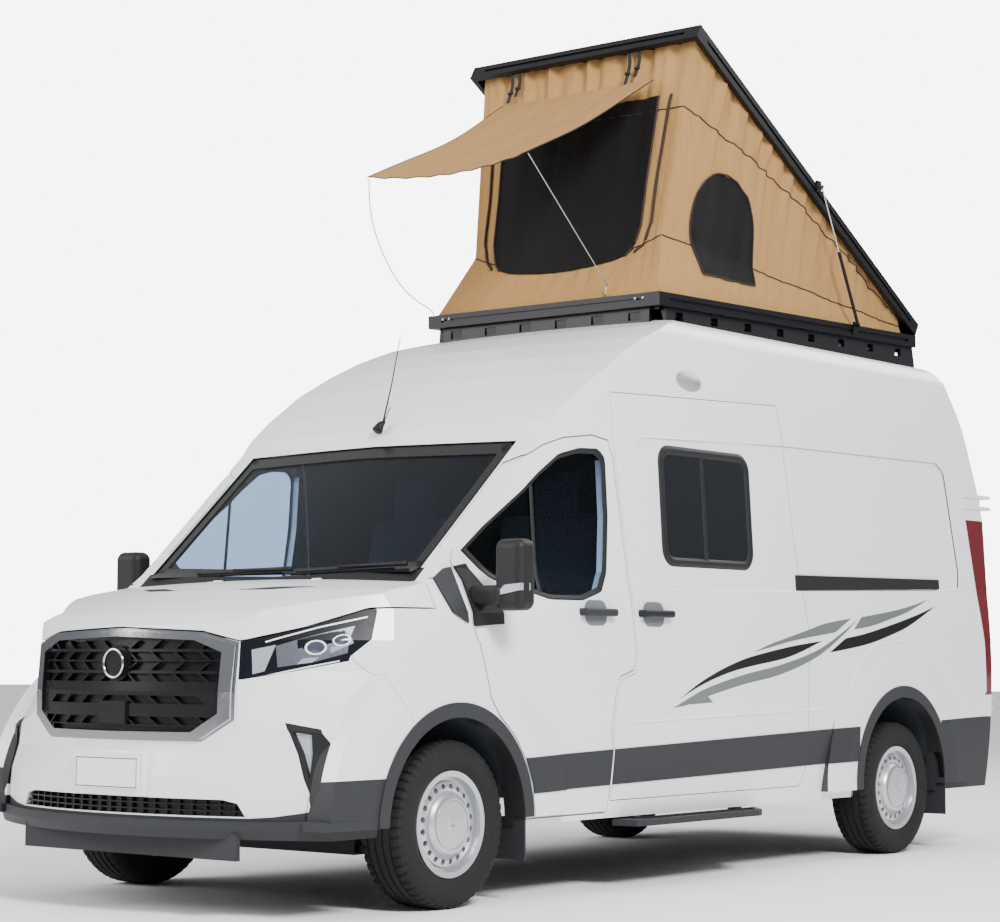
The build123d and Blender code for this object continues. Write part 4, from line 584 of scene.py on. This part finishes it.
# Bonnet vents: two slits near the screen's foot, each closed by a black moulded grid.
# They let air into the cowl and clip in from above.
SLIT_FRONT = ((0.190, -2.428), (0.360, -2.412), (0.520, -2.305))
SLIT_REAR = ((0.190, -2.424), (0.340, -2.340), (0.520, -2.301))
bonnet_skin = tree_over("bonnet")
for sign, side in SIDES:
    slit_front, slit_rear = ([(sign * x, y) for x, y in edge] for edge in (SLIT_FRONT, SLIT_REAR))
    laid_strip(f"bonnet_vent_{side}", bonnet_skin, "top", slit_front, slit_rear, black_trim, "bonnet",
               (0.0012, 0.002, 0.0012), 20)

# Aerial and marker lamps: a rubber foot with two spring steel whips on the roof, and a low
# oval lamp high on each side. Both are bought in and screwed on.
marker_grey = new_finish("satin_grey", (0.30, 0.31, 0.33), 0.35, (200.0, 0.05, (0.3, 0.4)), 0.3)
# name, route, radii, sides
AERIAL_PIECES = (
    ("aerial_base", ((0, -1.325, 2.095), (0, -1.300, 2.125), (0, -1.275, 2.140)),
     (0.026, 0.017, 0.008), 10),
    ("aerial_whip", ((0, -1.288, 2.125), (0.0, -1.225, 2.32), (0.0, -1.165, 2.55)),
     (0.0045, 0.003, 0.002), 8),
    ("aerial_short_whip", ((0, -1.290, 2.120), (0.0, -1.235, 2.21)), 0.0022, 8),
)
for name, route, radii, bar_sides in AERIAL_PIECES:
    round_bar(name, route, radii, black_trim, "van", bar_sides)
MARKER_MIDDLE, MARKER_HALF_LENGTH, MARKER_HALF_HEIGHT, MARKER_STEPS = (-0.130, 2.372), 0.110, 0.052, 32
MARKER_LIFTS = (0.0, 0.016, 0.024, 0.026)
marker_edge = [
    (MARKER_MIDDLE[0] + MARKER_HALF_LENGTH * cos(2 * pi * step / MARKER_STEPS),
     MARKER_MIDDLE[1] + MARKER_HALF_HEIGHT * sin(2 * pi * step / MARKER_STEPS))
    for step in range(MARKER_STEPS + 1)
]
for _, side in SIDES:
    laid_strip(f"marker_lamp_{side}", side_tree, side, marker_edge,
               drawn_in(marker_edge, TO_A_POINT, MARKER_MIDDLE), marker_grey, "van", MARKER_LIFTS,
               MARKER_STEPS + 1)

# Pressed lines: the ridges that stiffen the side panels, rolled into the same white sheet.
# They run over the window panel and along above the dark band, over the rear arch.
# name, width, line (y, z) from the side
PRESSED_LINES = (
    ("over_window", 0.012, [(-0.643, 2.020), (-0.594, 2.062), (-0.117, 2.085), (0.383, 2.096),
                            (0.948, 2.104), (1.545, 2.111), (2.150, 2.115), (2.300, 2.090),
                            (2.375, 2.020), (2.440, 1.747), (2.478, 1.490), (2.455, 1.440),
                            (2.400, 1.424), (2.200, 1.416)]),
    ("under_window", 0.012, [(-0.532, 1.425), (-0.443, 1.395), (-0.335, 1.357), (0.175, 1.367),
                             (0.689, 1.378)]),
    ("over_band", 0.016, [(-0.730, 0.747), (-0.013, 0.762), (0.747, 0.778), (1.060, 0.788),
                          (1.160, 0.812), (1.225, 0.865), (1.338, 1.020), (1.461, 1.095),
                          (1.654, 1.128), (2.041, 1.129), (2.210, 1.064), (2.366, 0.886),
                          (2.430, 0.850), (2.560, 0.842)]),
)
RIDGE_LIFTS, RIDGE_COLUMNS, CURVE_STEPS = (0.0, 0.0035, 0.0045, 0.0035, 0.0), 90, 6


def smooth(line):
    """A line of points made into a smooth curve through them."""
    line = [Vector(point) for point in line]
    curve = []
    for index in range(len(line) - 1):
        before, a, b = line[max(index - 1, 0)], line[index], line[index + 1]
        after = line[min(index + 2, len(line) - 1)]
        for step in range(CURVE_STEPS):
            t = step / CURVE_STEPS
            curve.append(0.5 * (2 * a + (b - before) * t
                                + (2 * before - 5 * a + 4 * b - after) * t ** 2
                                + (3 * a - before - 3 * b + after) * t ** 3))
    return curve + [line[-1]]


def beside_line(line, shift):
    """A smooth line moved sideways, to its left."""
    moved = []
    for index, point in enumerate(line):
        run = (line[min(index + 1, len(line) - 1)] - line[max(index - 1, 0)]).normalized()
        moved.append(point + Vector((-run.y, run.x)) * shift)
    return moved


for name, width, line in PRESSED_LINES:
    ridge = smooth(line)
    for _, side in SIDES:
        laid_strip(f"pressed_line_{name}_{side}", side_tree, side, beside_line(ridge, width / 2),
                   beside_line(ridge, -width / 2), plain_white, "van", RIDGE_LIFTS, RIDGE_COLUMNS)

# Vinyl stripes: cut film laid over the left side, black and grey.
# They run up from behind the step to over the rear arch.
stripe_black = new_finish("stripe_black", (0.006, 0.006, 0.006), 0.3, (60.0, 0.0, (0.26, 0.36)))
stripe_grey = new_finish("stripe_grey", (0.115, 0.13, 0.125), 0.3, (60.0, 0.0, (0.26, 0.36)))
FILM_LIFTS, FILM_COLUMNS = (0.0010,) * 5, 64
# name, film, upper edge and lower edge (y, z) from the left
STRIPES = (
    ("lower_black", stripe_black,
     [(-0.353, 0.845), (-0.196, 0.916), (-0.036, 0.972), (0.127, 1.017), (0.294, 1.051),
      (0.638, 1.099), (0.962, 1.131)],
     [(-0.353, 0.845), (-0.196, 0.902), (-0.037, 0.946), (0.126, 0.98), (0.293, 1.004),
      (0.637, 1.049), (0.962, 1.131)]),
    ("lower_grey", stripe_grey,
     [(-0.392, 0.809), (-0.26, 0.855), (-0.102, 0.902), (0.208, 0.961), (0.549, 1.009),
      (0.906, 1.083), (1.206, 1.193), (1.331, 1.254)],
     [(-0.392, 0.809), (-0.26, 0.824), (-0.102, 0.86), (0.207, 0.914), (0.548, 0.961),
      (0.905, 1.05), (1.205, 1.179), (1.331, 1.254)]),
    ("spur_grey", stripe_grey, [(-0.26, 0.824), (-0.102, 0.86)], [(-0.229, 0.824), (-0.055, 0.831)]),
    ("middle_grey", stripe_grey,
     [(0.294, 1.069), (0.465, 1.113), (0.639, 1.148), (0.818, 1.184), (1.001, 1.22), (1.264, 1.25)],
     [(0.294, 1.069), (0.464, 1.096), (0.639, 1.124), (0.817, 1.146), (1.0, 1.165), (1.092, 1.175)]),
    ("upper_grey", stripe_grey,
     [(1.37, 1.258), (1.575, 1.28), (1.777, 1.305), (1.983, 1.338), (2.131, 1.37)],
     [(1.281, 1.191), (1.475, 1.213), (1.674, 1.251), (1.878, 1.294), (2.131, 1.37)]),
    ("upper_black", stripe_black,
     [(1.195, 1.146), (1.377, 1.168), (1.573, 1.201), (1.774, 1.238), (1.981, 1.28), (2.193, 1.33)],
     [(1.025, 1.071), (1.279, 1.098), (1.472, 1.125), (1.671, 1.166), (1.876, 1.217), (2.193, 1.33)]),
)
for name, film, upper, lower in STRIPES:
    laid_strip(f"stripe_{name}", side_tree, "left", smooth(upper), smooth(lower), film, "van",
               FILM_LIFTS, FILM_COLUMNS)

# Licence plate: a blank white plate of pressed aluminium, held on the front bumper.
# A thin black rim runs round its face.
plate_white = new_finish("plate_white", (0.85, 0.85, 0.82), 0.4, (100.0, 0.05, (0.35, 0.45)))
finish_nodes(plate_white, "licence_plate")
PLATE_FACE_Y = -2.9845
# name, and the strip's x and z ranges
PLATE_RIMS = (
    ("top", -0.183, 0.183, 0.6275, 0.631), ("foot", -0.183, 0.183, 0.512, 0.5155),
    ("left", 0.1765, 0.180, 0.512, 0.631), ("right", -0.180, -0.1765, 0.512, 0.631),
)
for name, x0, x1, z0, z1 in PLATE_RIMS:
    rim_corners = [(x, PLATE_FACE_Y, z) for x, z in ((x0, z0), (x1, z0), (x1, z1), (x0, z1))]
    ridden_mesh(f"plate_rim_{name}", rim_corners, [(0, 1, 2, 3)], gloss_black, "van", smooth=False)

# Roof rack, tray and lid: black anodised extrusions, bolted together at their corners.
# A gas strut on each side has a black barrel and a bright rod. Two bolts show at each tray corner.
anodised = new_finish("black_anodised", (0.0028, 0.003, 0.0045), 0.42, (240.0, 0.06, (0.3, 0.42)))
finish_nodes(anodised, "roof_rack", "tent_tray", "tent_lid", "strut_barrel_left", "strut_barrel_right")
finish_nodes(chrome, "strut_rod_left", "strut_rod_right")
TRAY_BOLTS_X, BOLT_Z, BOLT_SEAT_Y, BOLT_FACE_Y = (0.640, 0.595), 2.812, -0.0805, -0.0865
BOLT_RADII, BOLT_SIDES = (0.008, 0.006), 12
for sign, side in SIDES:
    for step, bolt_x in enumerate(TRAY_BOLTS_X):
        bolt_route = [(sign * bolt_x, y, BOLT_Z) for y in (BOLT_SEAT_Y, BOLT_FACE_Y)]
        round_bar(f"tray_bolt_{side}_{step}", bolt_route, BOLT_RADII, chrome, "van", BOLT_SIDES)

# Tent canvas: polycotton cut in panels and sewn with dark piping, gathered under the lid.
# The walls are one lofted cloth, from the tray, in over the lower seam, and up into the lid.
canvas = new_finish("tan_canvas", (0.35, 0.200, 0.073), 0.9, (700.0, 0.4, (0.85, 0.95)),
                    extra={"Specular IOR Level": 0.15})
CREASE_STRETCH, CREASE_SCALE, CREASE_DETAIL, CREASE_TWIST = (1.0, 1.0, 0.42), 11.0, 5.0, 1.1
CREASE_BUMP, CREASE_DEPTH = 0.55, 0.022
canvas_nodes, canvas_links = canvas.node_tree.nodes, canvas.node_tree.links
canvas_place = next(node for node in canvas_nodes if node.type == "TEX_COORD")
weave_relief = next(node for node in canvas_nodes if node.type == "BUMP")
crease_place = canvas_nodes.new("ShaderNodeMapping")
crease_place.inputs["Scale"].default_value = CREASE_STRETCH
creases = canvas_nodes.new("ShaderNodeTexNoise")
creases.inputs["Scale"].default_value = CREASE_SCALE
creases.inputs["Detail"].default_value = CREASE_DETAIL
creases.inputs["Distortion"].default_value = CREASE_TWIST
crease_relief = canvas_nodes.new("ShaderNodeBump")
crease_relief.inputs["Strength"].default_value = CREASE_BUMP
crease_relief.inputs["Distance"].default_value = CREASE_DEPTH
canvas_links.new(canvas_place.outputs["Object"], crease_place.inputs["Vector"])
canvas_links.new(crease_place.outputs["Vector"], creases.inputs["Vector"])
canvas_links.new(creases.outputs["Fac"], crease_relief.inputs["Height"])
canvas_links.new(crease_relief.outputs["Normal"], weave_relief.inputs["Normal"])
piping = new_finish("dark_piping", (0.035, 0.022, 0.02), 0.8, (400.0, 0.2, (0.7, 0.9)))
# front corner and rear corner (half width, y, z) of each seam, from the tray to the lid
SEAMS = (
    ((0.706, -0.048, 2.832), (0.706, 2.400, 2.884)),
    ((0.600, 0.140, 3.160), (0.690, 2.395, 2.935)),
    ((0.655, 0.262, 3.830), (0.692, 2.385, 2.975)),
    ((0.690, 0.330, 4.178), (0.700, 2.375, 3.060)),
)
LID_FRONT_Y, LID_FRONT_Z, LID_FALL = 0.330, 4.178, 0.5535
UPPER_SEAM_RISE, LOWER_SEAM_DIP, LOWER_SEAM_FORWARD = 0.085, 0.110, 0.040
LEVEL_ROWS = (9, 15, 9)
WALL_COLUMNS, FRONT_COLUMNS = 90, 70
WALL_LENGTH, FRONT_LENGTH = 2.4, 1.4
PLEAT_BELOW, PLEAT_UNDER_LID, CORNER_GATHER, DRAWN_FOLD, WALL_BULGE = 0.003, 0.014, 0.011, 0.0085, 0.010
TRAY_HEM_SHARE = 0.3


def pleat(u, level, length):
    """Depth of the folds at a place along a wall: deep under the lid, faint near the tray."""
    strength = PLEAT_BELOW + PLEAT_UNDER_LID * max(0.0, (level - 1.5) / 1.5)
    wave = sin(u * length * 41 + 1.7 * sin(u * length * 7)) + 0.6 * sin(u * length * 73 + 2.0 * level)
    corner = max(0.0, 1 - min(u, 1 - u) / 0.13) if length > 2 else max(0.0, (abs(u) - 0.36) / 0.14)
    gathered = CORNER_GATHER * corner * sin(u * length * 105 + 0.8 * sin(3.0 * level))
    slanting = sin(11 * u * length + 4.2 * level + 1.4 * sin(2.3 * level))
    return strength * wave + gathered + DRAWN_FOLD * slanting * sin(pi * min(1.0, level / 3))


def side_point(u, seam, share, side, lift=0.0):
    """A point of a side wall: u runs from its front edge to its rear edge."""
    edges = []
    for number in (seam, seam + 1):
        front_corner, rear_corner = (Vector(corner) for corner in SEAMS[number])
        place = front_corner.lerp(rear_corner, u)
        if number == 2:
            place.z += UPPER_SEAM_RISE * sin(pi * u)
        if number == 3:
            place.z = LID_FRONT_Z - LID_FALL * (place.y - LID_FRONT_Y)
        edges.append(place)
    here = edges[0].lerp(edges[1], share)
    fade = min(1.0, 8 * u, 12 * (1 - u))
    free = 0.0 if seam == 0 and share < TRAY_HEM_SHARE else 1.0
    bulge = pleat(u, seam + share, WALL_LENGTH) + WALL_BULGE * sin(3.1 * u + 1.2)
    here.x += lift + free * fade * bulge
    return Vector((side * here.x, here.y, here.z))


def front_point(u, seam, share, lift=0.0):
    """A point of the front wall: u runs from the right corner, -1, to the left corner, 1."""
    low, high = Vector(SEAMS[seam][0]), Vector(SEAMS[seam + 1][0])
    for number, place in ((seam, low), (seam + 1, high)):
        if number == 1:
            place.z -= LOWER_SEAM_DIP * (1 - abs(u) ** 2.2)
            place.y -= LOWER_SEAM_FORWARD * (1 - abs(u) ** 2.2)
    here = low.lerp(high, share)
    fade = 1 - abs(u) ** 8
    free = 0.0 if seam == 0 and share < TRAY_HEM_SHARE else 1.0
    out = lift + free * fade * pleat(u * 0.5, seam + share, FRONT_LENGTH)
    return Vector((u * here.x, here.y - out, here.z))


def at_level(make, u, level, *rest):
    """A wall's point at a level that counts the seams passed from the tray up."""
    seam = min(len(LEVEL_ROWS) - 1, int(level))
    return make(u, seam, level - seam, *rest)


def folds_flat(piece):
    """Gives the piece its own copy of its mesh."""
    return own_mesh(piece)


levels = [(seam, row / count) for seam, count in enumerate(LEVEL_ROWS) for row in range(count)]
levels.append((len(LEVEL_ROWS) - 1, 1.0))
canvas_points, canvas_faces = [], []
for make, columns in (
    (lambda u, seam, share: side_point(u, seam, share, 1), WALL_COLUMNS),
    (lambda u, seam, share: side_point(u, seam, share, -1), WALL_COLUMNS),
    (lambda u, seam, share: front_point(2 * u - 1, seam, share), FRONT_COLUMNS),
):
    first = len(canvas_points)
    canvas_points += [
        make(column / (columns - 1), seam, share) for seam, share in levels for column in range(columns)
    ]
    canvas_faces += [tuple(first + index for index in quad) for quad in grid_faces(len(levels), columns)]
first = len(canvas_points)
canvas_points += [side_point(1.0, seam, share, sign) for seam, share in levels for sign, _ in SIDES]
canvas_faces += [tuple(first + index for index in quad) for quad in grid_faces(len(levels), 2)]
walls = ridden_mesh("tent_walls", canvas_points, canvas_faces, canvas, "van")
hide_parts("tent_canvas")
folds_flat(walls)

# Seams: dark piping sewn over the joins, along the lower and the upper seam of every wall.
# It is a cord in a folded strip, so it stands a little proud.
SEAM_RADIUS, SEAM_LIFT, PIPING_SIDES = 0.0032, 0.003, 6


def seam_line(name, points, radius, finish=piping):
    """A run of piping along the canvas."""
    return folds_flat(round_bar(name, points, radius, finish, "van", PIPING_SIDES))


wall_places = [step / (WALL_COLUMNS - 1) for step in range(WALL_COLUMNS)]
for number in (1, 2):
    for sign, side in SIDES:
        seam_line(f"seam_{number}_{side}",
                  [side_point(u, number, 0.0, sign, SEAM_LIFT) for u in wall_places], SEAM_RADIUS)
    seam_line(f"seam_{number}_front",
              [front_point(2 * u - 1, number, 0.0, SEAM_LIFT) for u in wall_places], SEAM_RADIUS)

# Canvas door: fly mesh sewn into the front wall, with a zip up each side and one outside it.
# The zips are coil zips in dark tape.
black_mesh = new_finish("black_mesh", (0.0032, 0.003, 0.003), 0.85, (1400.0, 0.5, (0.75, 0.95)))
MESH_LIFT, ZIP_LIFT, ZIP_STEPS, DOOR_ROWS = 0.006, 0.008, 24, 30
# place along the front wall and level, from the sill round the corner and up
DOOR_LEFT_EDGE = [(0.52, 0.86), (0.66, 0.90), (0.74, 1.00), (0.78, 1.15), (0.76, 1.50), (0.76, 2.22)]
DOOR_RIGHT_EDGE = [(-u, level) for u, level in DOOR_LEFT_EDGE]
# name, how far out it runs against the mesh's edge, radius
ZIPS = (("zip", 1.0, 0.006), ("outer_zip", 1.14, 0.007))


def wall_patch(name, make, outline_a, outline_b, finish, rows, columns):
    """A panel sewn on the canvas between two edges, each a line of (u, level) places."""
    points = []
    for row in range(rows):
        for column in range(columns):
            a, b = along(outline_a, row / (rows - 1)), along(outline_b, row / (rows - 1))
            u, level = a.lerp(b, column / (columns - 1))
            points.append(at_level(make, u, level))
    return folds_flat(ridden_mesh(name, points, grid_faces(rows, columns), finish, "van"))


wall_patch("tent_door_mesh", lambda u, seam, share: front_point(u, seam, share, MESH_LIFT),
           DOOR_LEFT_EDGE, DOOR_RIGHT_EDGE, black_mesh, DOOR_ROWS, DOOR_ROWS)
for sign, side in SIDES:
    for name, reach, radius in ZIPS:
        edge = [(sign * u * reach, level) for u, level in DOOR_LEFT_EDGE[1:]]
        places = [along(edge, step / ZIP_STEPS) for step in range(ZIP_STEPS + 1)]
        seam_line(f"tent_{name}_{side}", [at_level(front_point, u, level, ZIP_LIFT) for u, level in places],
                  radius)

# Canvas windows: an arched panel of fly mesh in each side wall, with a sewn border.
# The arch stands upright though the wall behind it slopes with the lid.
ARCH_Y, ARCH_Z, ARCH_HALF, ARCH_RISE, ARCH_STEPS = 0.625, 3.240, 0.275, 0.30, 24
SILL_RIGHT, SILL_LEFT = (ARCH_Y + 0.262, 2.985), (ARCH_Y - 0.230, 2.990)
BORDER_STEPS, BORDER_RADIUS, BORDER_LIFT = 60, 0.004, 0.008
WINDOW_ROWS, WINDOW_COLUMNS = 24, 16
FIRST_GUESS, GUESSES, GUESS_LENGTH = 0.2, 6, 2.2


def level_at(u, z):
    """How far up the seams a height lies on a side wall, at a place along it."""
    for seam in range(len(LEVEL_ROWS)):
        low, high = (side_point(u, seam, share, 1).z for share in (0.0, 1.0))
        if z <= high or seam == len(LEVEL_ROWS) - 1:
            return seam + min(1.0, max(0.0, (z - low) / (high - low)))


def as_wall(line):
    """Side view (y, z) points as places on the side wall, found by a few closer and closer guesses."""
    places = []
    for y, z in line:
        u = FIRST_GUESS
        for _ in range(GUESSES):
            u += (y - at_level(side_point, u, level_at(u, z), 1).y) / GUESS_LENGTH
        places.append((u, level_at(u, z)))
    return places


arch = [
    (ARCH_Y + ARCH_HALF * cos(pi * step / ARCH_STEPS), ARCH_Z + ARCH_RISE * sin(pi * step / ARCH_STEPS))
    for step in range(ARCH_STEPS + 1)
]
arch_right = [SILL_RIGHT] + arch[:ARCH_STEPS // 2 + 1]
arch_left = [SILL_LEFT] + arch[ARCH_STEPS // 2:][::-1]
border = as_wall([arch_left[0]] + arch_right + arch_left[::-1])
border_places = [along(border, step / BORDER_STEPS) for step in range(BORDER_STEPS + 1)]
for sign, side in SIDES:
    wall_patch(f"tent_window_mesh_{side}",
               lambda u, seam, share: side_point(u, seam, share, sign, MESH_LIFT),
               as_wall(arch_right), as_wall(arch_left), black_mesh, WINDOW_ROWS, WINDOW_COLUMNS)
    seam_line(f"tent_window_border_{side}",
              [at_level(side_point, u, level, sign, BORDER_LIFT) for u, level in border_places],
              BORDER_RADIUS)

# Awning: the door's flap, zipped off at the foot and held out by a cord at each corner.
# It is one piece of the same cloth, hemmed on three edges, sagging between its corners.
AWNING_ROOT_Y, AWNING_ROOT_Z, AWNING_TIP_Y, AWNING_TIP_Z = 0.232, 3.985, -0.837, 3.432
AWNING_ROOT_HALF, AWNING_FLARE, EDGE_DRAW, EDGE_BOW = 0.490, 0.017, 0.045, 0.035
MIDDLE_SAG, TIP_SAG = 0.045, 0.040
AWNING_ROWS, HEM_RADIUS = 31, 0.003
awning_points = []
for row in range(AWNING_ROWS):
    out = row / (AWNING_ROWS - 1)
    for column in range(AWNING_ROWS):
        u = 2 * column / (AWNING_ROWS - 1) - 1
        pull = 1 - EDGE_DRAW * sin(pi * out)
        sag = MIDDLE_SAG * sin(pi * out) * (1 - 0.4 * abs(u)) + TIP_SAG * (1 - u * u) * out ** 2
        crease = (0.007 * sin(9 * u + 5 * out) * sin(pi * out) + 0.003 * sin(23 * u - 8 * out)
                  + 0.006 * sin(38 * u) * (1 - out) ** 3)
        tip_y = AWNING_TIP_Y + EDGE_BOW * (1 - u * u)
        awning_points.append((
            u * (AWNING_ROOT_HALF + AWNING_FLARE * out) * pull,
            AWNING_ROOT_Y + (tip_y - AWNING_ROOT_Y) * out,
            AWNING_ROOT_Z + (AWNING_TIP_Z - AWNING_ROOT_Z) * out - sag + crease,
        ))
awning = ridden_mesh("awning_flap", awning_points, grid_faces(AWNING_ROWS, AWNING_ROWS), canvas, "van")
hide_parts("tent_awning")
folds_flat(awning)
for name, hem in (
    ("left", awning_points[AWNING_ROWS - 1::AWNING_ROWS]),
    ("right", awning_points[::AWNING_ROWS]),
    ("front", awning_points[-AWNING_ROWS:]),
):
    seam_line(f"awning_hem_{name}", hem, HEM_RADIUS)

# Lid straps: webbing that hangs from the lid's edge, with a buckle on each.
# They tie the rolled flap up when it is not in use.
STRAPS = ((-0.47, 0.16), (-0.42, 0.13), (0.30, 0.17), (0.36, 0.14))
STRAP_TOP_Y, STRAP_TOP_Z, STRAP_STEPS, STRAP_HALF = 0.296, 4.165, 6, 0.011
STRAP_SWAY, STRAP_START, STRAP_LEAN = 0.012, 0.010, 0.004
BUCKLE_STEP, BUCKLE_HALF, BUCKLE_OUT, BUCKLE_RADIUS = 4, 0.014, 0.004, 0.008
for x, length in STRAPS:
    word = f"{'left' if x > 0 else 'right'}_{int(abs(x) * 100)}"
    strap_top = Vector((x, STRAP_TOP_Y, STRAP_TOP_Z))
    strap = [
        strap_top + Vector((STRAP_SWAY * sin(4 * step / STRAP_STEPS), -STRAP_START - STRAP_LEAN * step,
                            -length * step / STRAP_STEPS))
        for step in range(STRAP_STEPS + 1)
    ]
    points = [place + Vector((STRAP_HALF, 0, 0)) * edge for place in strap for edge in (-1, 1)]
    webbing = ridden_mesh(f"lid_strap_{word}", points, grid_faces(len(strap), 2), black_trim, "van",
                          smooth=False)
    folds_flat(webbing)
    buckle = [strap[BUCKLE_STEP] + Vector((edge * BUCKLE_HALF, -BUCKLE_OUT, 0)) for edge in (-1, 1)]
    folds_flat(round_bar(f"lid_buckle_{word}", buckle, BUCKLE_RADIUS, black_trim, "van", 8))

# Guy cords: braided cord from the awning's corners. The left one is drawn tight to a steel hook
# on the tray. The right one is slack: it hangs from its corner to the tray's far corner.
cord_white = new_finish("cord_white", (0.32, 0.31, 0.28), 0.8, (800.0, 0.3, (0.7, 0.9)))
SLACK_ROUTE = (
    (-0.499, -0.832, 3.4247), (-0.503, -0.828, 3.370), (-0.512, -0.810, 3.290),
    (-0.525, -0.774, 3.205), (-0.546, -0.688, 3.095), (-0.575, -0.570, 2.996),
    (-0.610, -0.435, 2.926), (-0.645, -0.290, 2.885), (-0.685, -0.140, 2.866),
    (-0.714, -0.070, 2.856), (-0.714, -0.068, 2.840),
)
slack_data = bpy.data.curves.new("guy_cord_slack", "CURVE")
slack_data.dimensions = "3D"
slack_data.bevel_depth = 0.003
slack_data.resolution_u = 12
slack_line = slack_data.splines.new("NURBS")
slack_line.points.add(len(SLACK_ROUTE) - 1)
for point, place in zip(slack_line.points, SLACK_ROUTE):
    point.co = (*place, 1.0)
slack_line.order_u = 3
slack_line.use_endpoint_u = True
slack_data.materials.append(cord_white)
guy_slack = bpy.data.objects.new("guy_cord_slack", slack_data)
bpy.context.collection.objects.link(guy_slack)
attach(guy_slack, "van")
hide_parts("guy_cord")
TAUT_ENDS, TAUT_STEPS, TAUT_RADIUS = ((0.506, -0.834, 3.425), (0.398, -0.048, 2.905)), 12, 0.0025
HOOK_ROUTE, HOOK_RADIUS = (TAUT_ENDS[1], (0.396, -0.050, 2.880), (0.396, -0.055, 2.842)), 0.004
TAUT_RUN = [Vector(TAUT_ENDS[0]).lerp(Vector(TAUT_ENDS[1]), step / TAUT_STEPS)
            for step in range(TAUT_STEPS + 1)]
guy_taut = seam_line("guy_cord_taut", TAUT_RUN, TAUT_RADIUS, cord_white)
seam_line("guy_hook_left", HOOK_ROUTE, HOOK_RADIUS, chrome)
